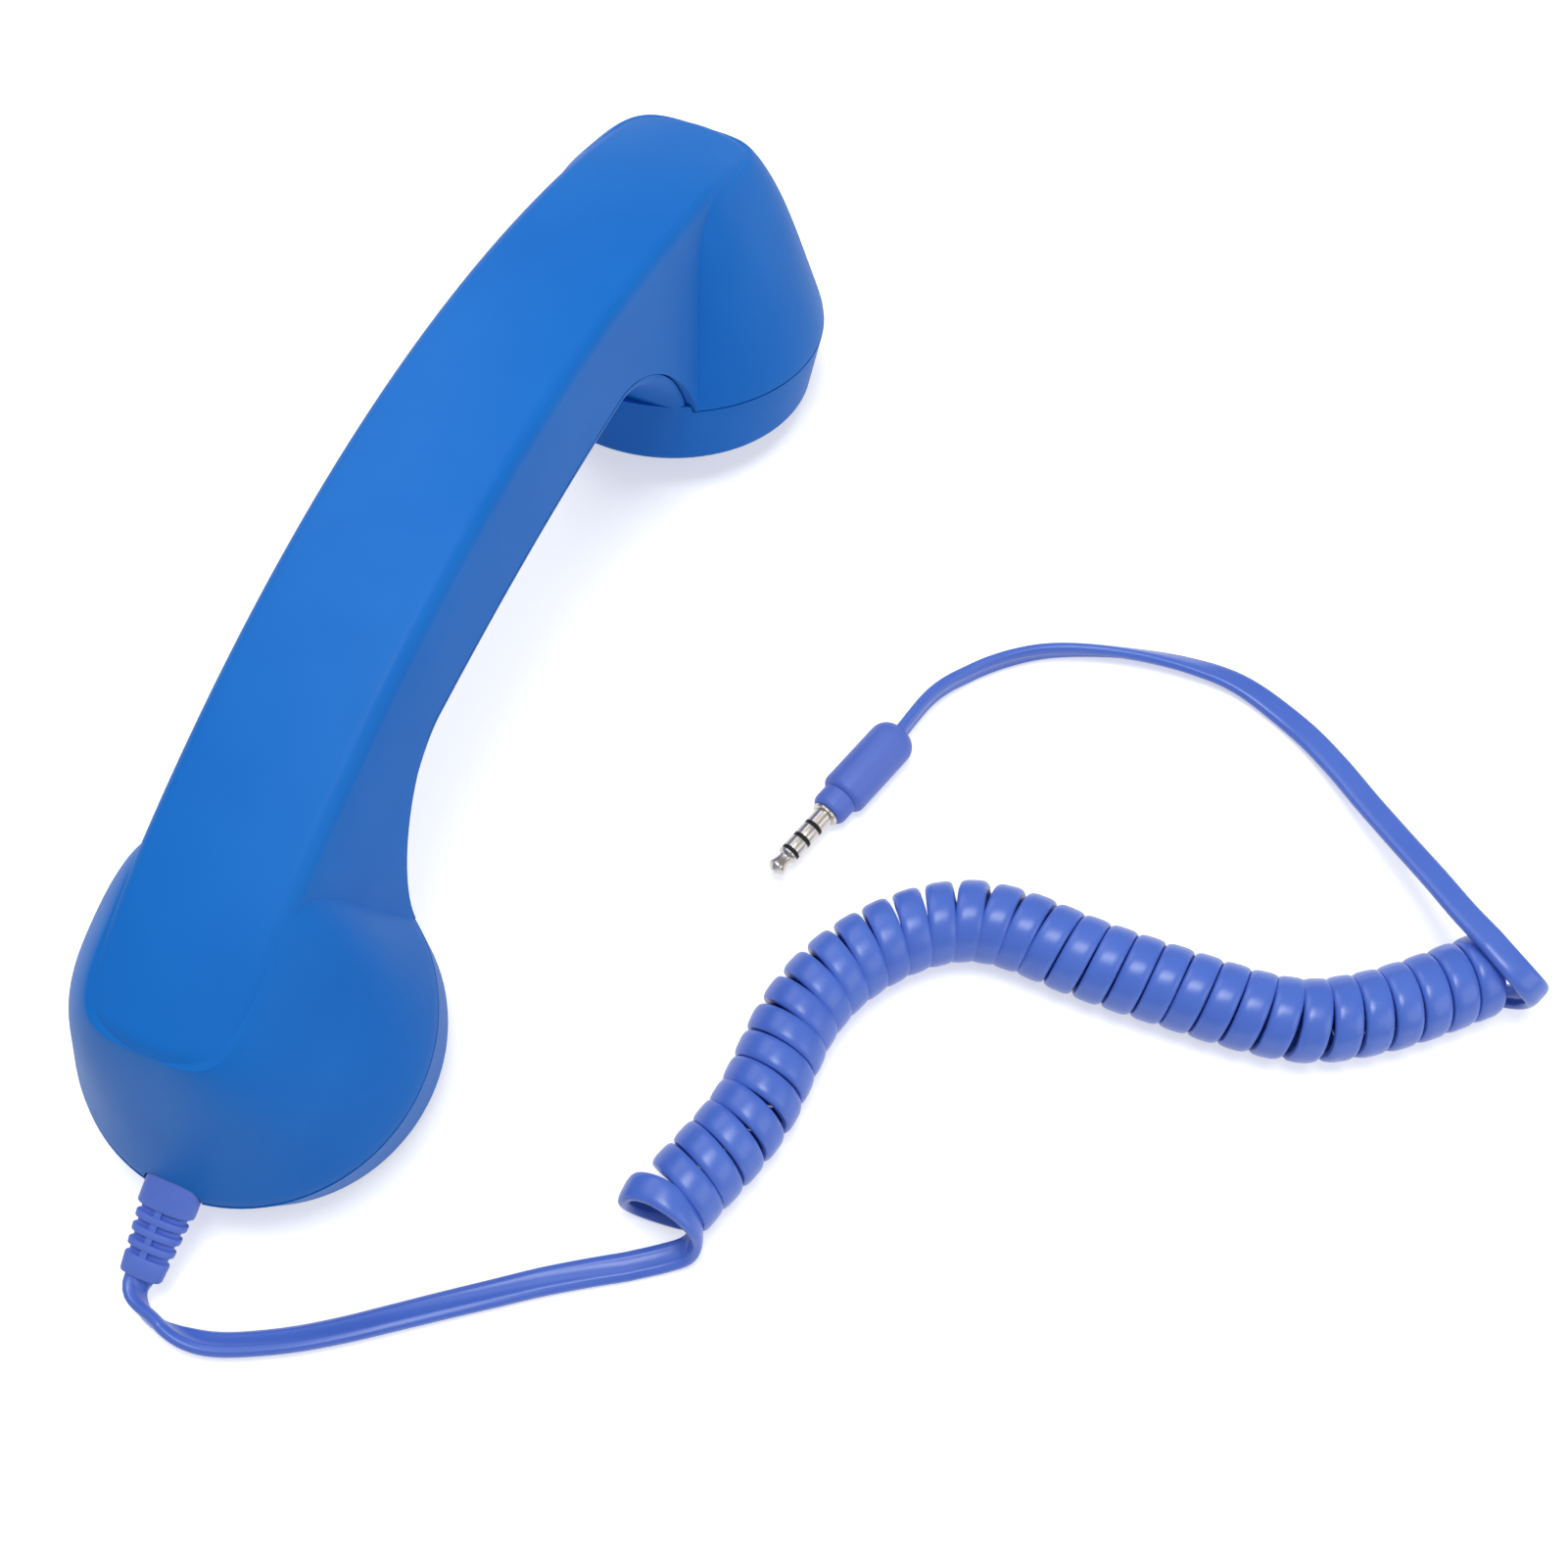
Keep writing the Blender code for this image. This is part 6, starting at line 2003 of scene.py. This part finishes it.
@dataclass
class Studio:
    """The pale floor, the world and the lamps.

    Attributes:
        floor_half: Half of the floor's side.
        floor_centre: The floor's middle.
        floor_colour: Its colour.
        floor_lift: How bright its background is beside the object, where 1 is white.
        bright_range: Between which distances from the object's middle it rises to white.
        world_colour: Colour of the soft light all round.
        world_strength: Its strength.
        aim: The point that the lamps face.
        lamps: A lamp overhead, the main one on the left behind and a weak one on the right.
    """

    floor_half: float = 3.0
    floor_centre: Flat = (0.06, 0.0)
    floor_colour: Colour = (0.86, 0.86, 0.87)
    floor_lift: float = 0.50
    bright_range: Flat = (0.30, 0.90)
    world_colour: Colour = (0.90, 0.93, 1.0)
    world_strength: float = 0.32
    aim: Point = (0.03, 0.0, 0.03)
    lamps: Tuple[SoftLamp, ...] = (
        SoftLamp("overhead_lamp", (0.10, -0.05, 1.00), (0.40, 0.36), 4.7),
        SoftLamp("key_lamp", (-0.55, 0.35, 0.70), (0.7, 0.7), 2.7),
        SoftLamp("side_lamp", (0.75, -0.10, 0.40), (0.5, 0.5), 1.3),
    )

    def seen_directly(self, bench: NodeBench) -> Socket:
        """Return a factor that is 1 for rays that show the background.

        Args:
            bench: The bench of the background's material.

        Returns:
            The socket with the factor.
        """
        rays = bench.node("ShaderNodeLightPath")
        total = rays.outputs["Is Camera Ray"]
        for name in ("Is Glossy Ray", "Is Transmission Ray"):
            adder = bench.node("ShaderNodeMath", operation="ADD", use_clamp=True)
            bench.link(total, adder.inputs[0])
            bench.link(rays.outputs[name], adder.inputs[1])
            total = adder.outputs[0]
        return total

    def floor(self) -> Part:
        """Build the floor, a pale sheet that keeps the object's shadow."""
        bm = bmesh.new()
        bmesh.ops.create_grid(bm, x_segments=1, y_segments=1, size=self.floor_half)
        x, y = self.floor_centre
        bmesh.ops.translate(bm, vec=(x, y, 0.0), verts=bm.verts)
        mesh = bpy.data.meshes.new("floor")
        bm.to_mesh(mesh)
        bm.free()
        item = link_mesh("floor", mesh)
        bench = NodeBench("floor_white")
        diffuse = bench.node("ShaderNodeBsdfDiffuse", Color=(*self.floor_colour, 1.0))
        glow = bench.node("ShaderNodeEmission", Color=(1.0, 1.0, 1.0, 1.0))
        place = bench.node("ShaderNodeTexCoord").outputs["Object"]
        away = bench.node("ShaderNodeVectorMath", operation="LENGTH")
        bench.link(place, away.inputs[0])
        rise = bench.spread(away.outputs["Value"], self.bright_range, (self.floor_lift, 1.0))
        factor = bench.node("ShaderNodeMath", operation="MULTIPLY")
        bench.link(self.seen_directly(bench), factor.inputs[0])
        bench.link(rise, factor.inputs[1])
        bench.link(factor.outputs[0], glow.inputs["Strength"])
        both = bench.node("ShaderNodeAddShader")
        bench.link(diffuse.outputs[0], both.inputs[0])
        bench.link(glow.outputs[0], both.inputs[1])
        bench.link(both.outputs[0], bench.output.inputs["Surface"])
        mesh.materials.append(bench.material)
        return item

    def world(self) -> bpy.types.World:
        """Build the world: soft light all round, and white where it is seen."""
        world = bpy.data.worlds.new("soft_room")
        bpy.context.scene.world = world
        world.use_nodes = True
        tree = world.node_tree
        tree.nodes.clear()
        output = tree.nodes.new("ShaderNodeOutputWorld")
        room = tree.nodes.new("ShaderNodeBackground")
        room.inputs["Color"].default_value = (*self.world_colour, 1.0)
        room.inputs["Strength"].default_value = self.world_strength
        white = tree.nodes.new("ShaderNodeBackground")
        white.inputs["Color"].default_value = (1.0, 1.0, 1.0, 1.0)
        mix = tree.nodes.new("ShaderNodeMixShader")
        rays = tree.nodes.new("ShaderNodeLightPath")
        tree.links.new(rays.outputs["Is Camera Ray"], mix.inputs[0])
        tree.links.new(room.outputs[0], mix.inputs[1])
        tree.links.new(white.outputs[0], mix.inputs[2])
        tree.links.new(mix.outputs[0], output.inputs["Surface"])
        return world

    def build(self) -> None:
        """Build the whole studio."""
        self.floor()
        self.world()
        for lamp in self.lamps:
            lamp.build(self.aim)
        bpy.context.scene.view_settings.view_transform = "Standard"


@dataclass
class InnerPieces:
    """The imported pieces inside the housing, which keep their shapes."""

    finishes: FinishStore

    def build(self) -> int:
        """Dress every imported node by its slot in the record.

        Returns:
            The number of nodes dressed.
        """
        slots = {row["node"]: row["material_slot"] for row in frame["record"]["subparts"]}
        for name, item in frame["nodes"].items():
            material = self.finishes.get(slots[name])
            for index in range(len(item.material_slots)):
                item.material_slots[index].material = material
            LOG.info("node %s wears %s", name, material.name)
        return len(slots)


def main() -> None:
    """Build the camera, the studio and every piece, in order."""
    logging.basicConfig(level=logging.INFO, format="%(message)s")
    CameraRig().build()
    Studio().build()
    finishes = FinishStore()
    InnerPieces(finishes).build()
    housing = Housing(finishes)
    relief = StrainRelief(finishes, housing.cups)
    plug = Plug(finishes)
    plug_pieces = plug.build()
    sleeve = relief.build()
    flat_cord = FlatCord(finishes, relief, plug)
    cord, line = flat_cord.build()
    fittings = ButtonAndScrews(finishes, housing.cups, housing.grip, housing.parting)
    fittings.build()
    holes = SoundHoles(housing.cups)
    housing.upper(relief.opening())
    drills = [holes.pattern(End.EAR), holes.pattern(End.MOUTH)]
    housing.lower(drills + [relief.opening()] + fittings.openings())


if __name__ == "__main__":
    main()
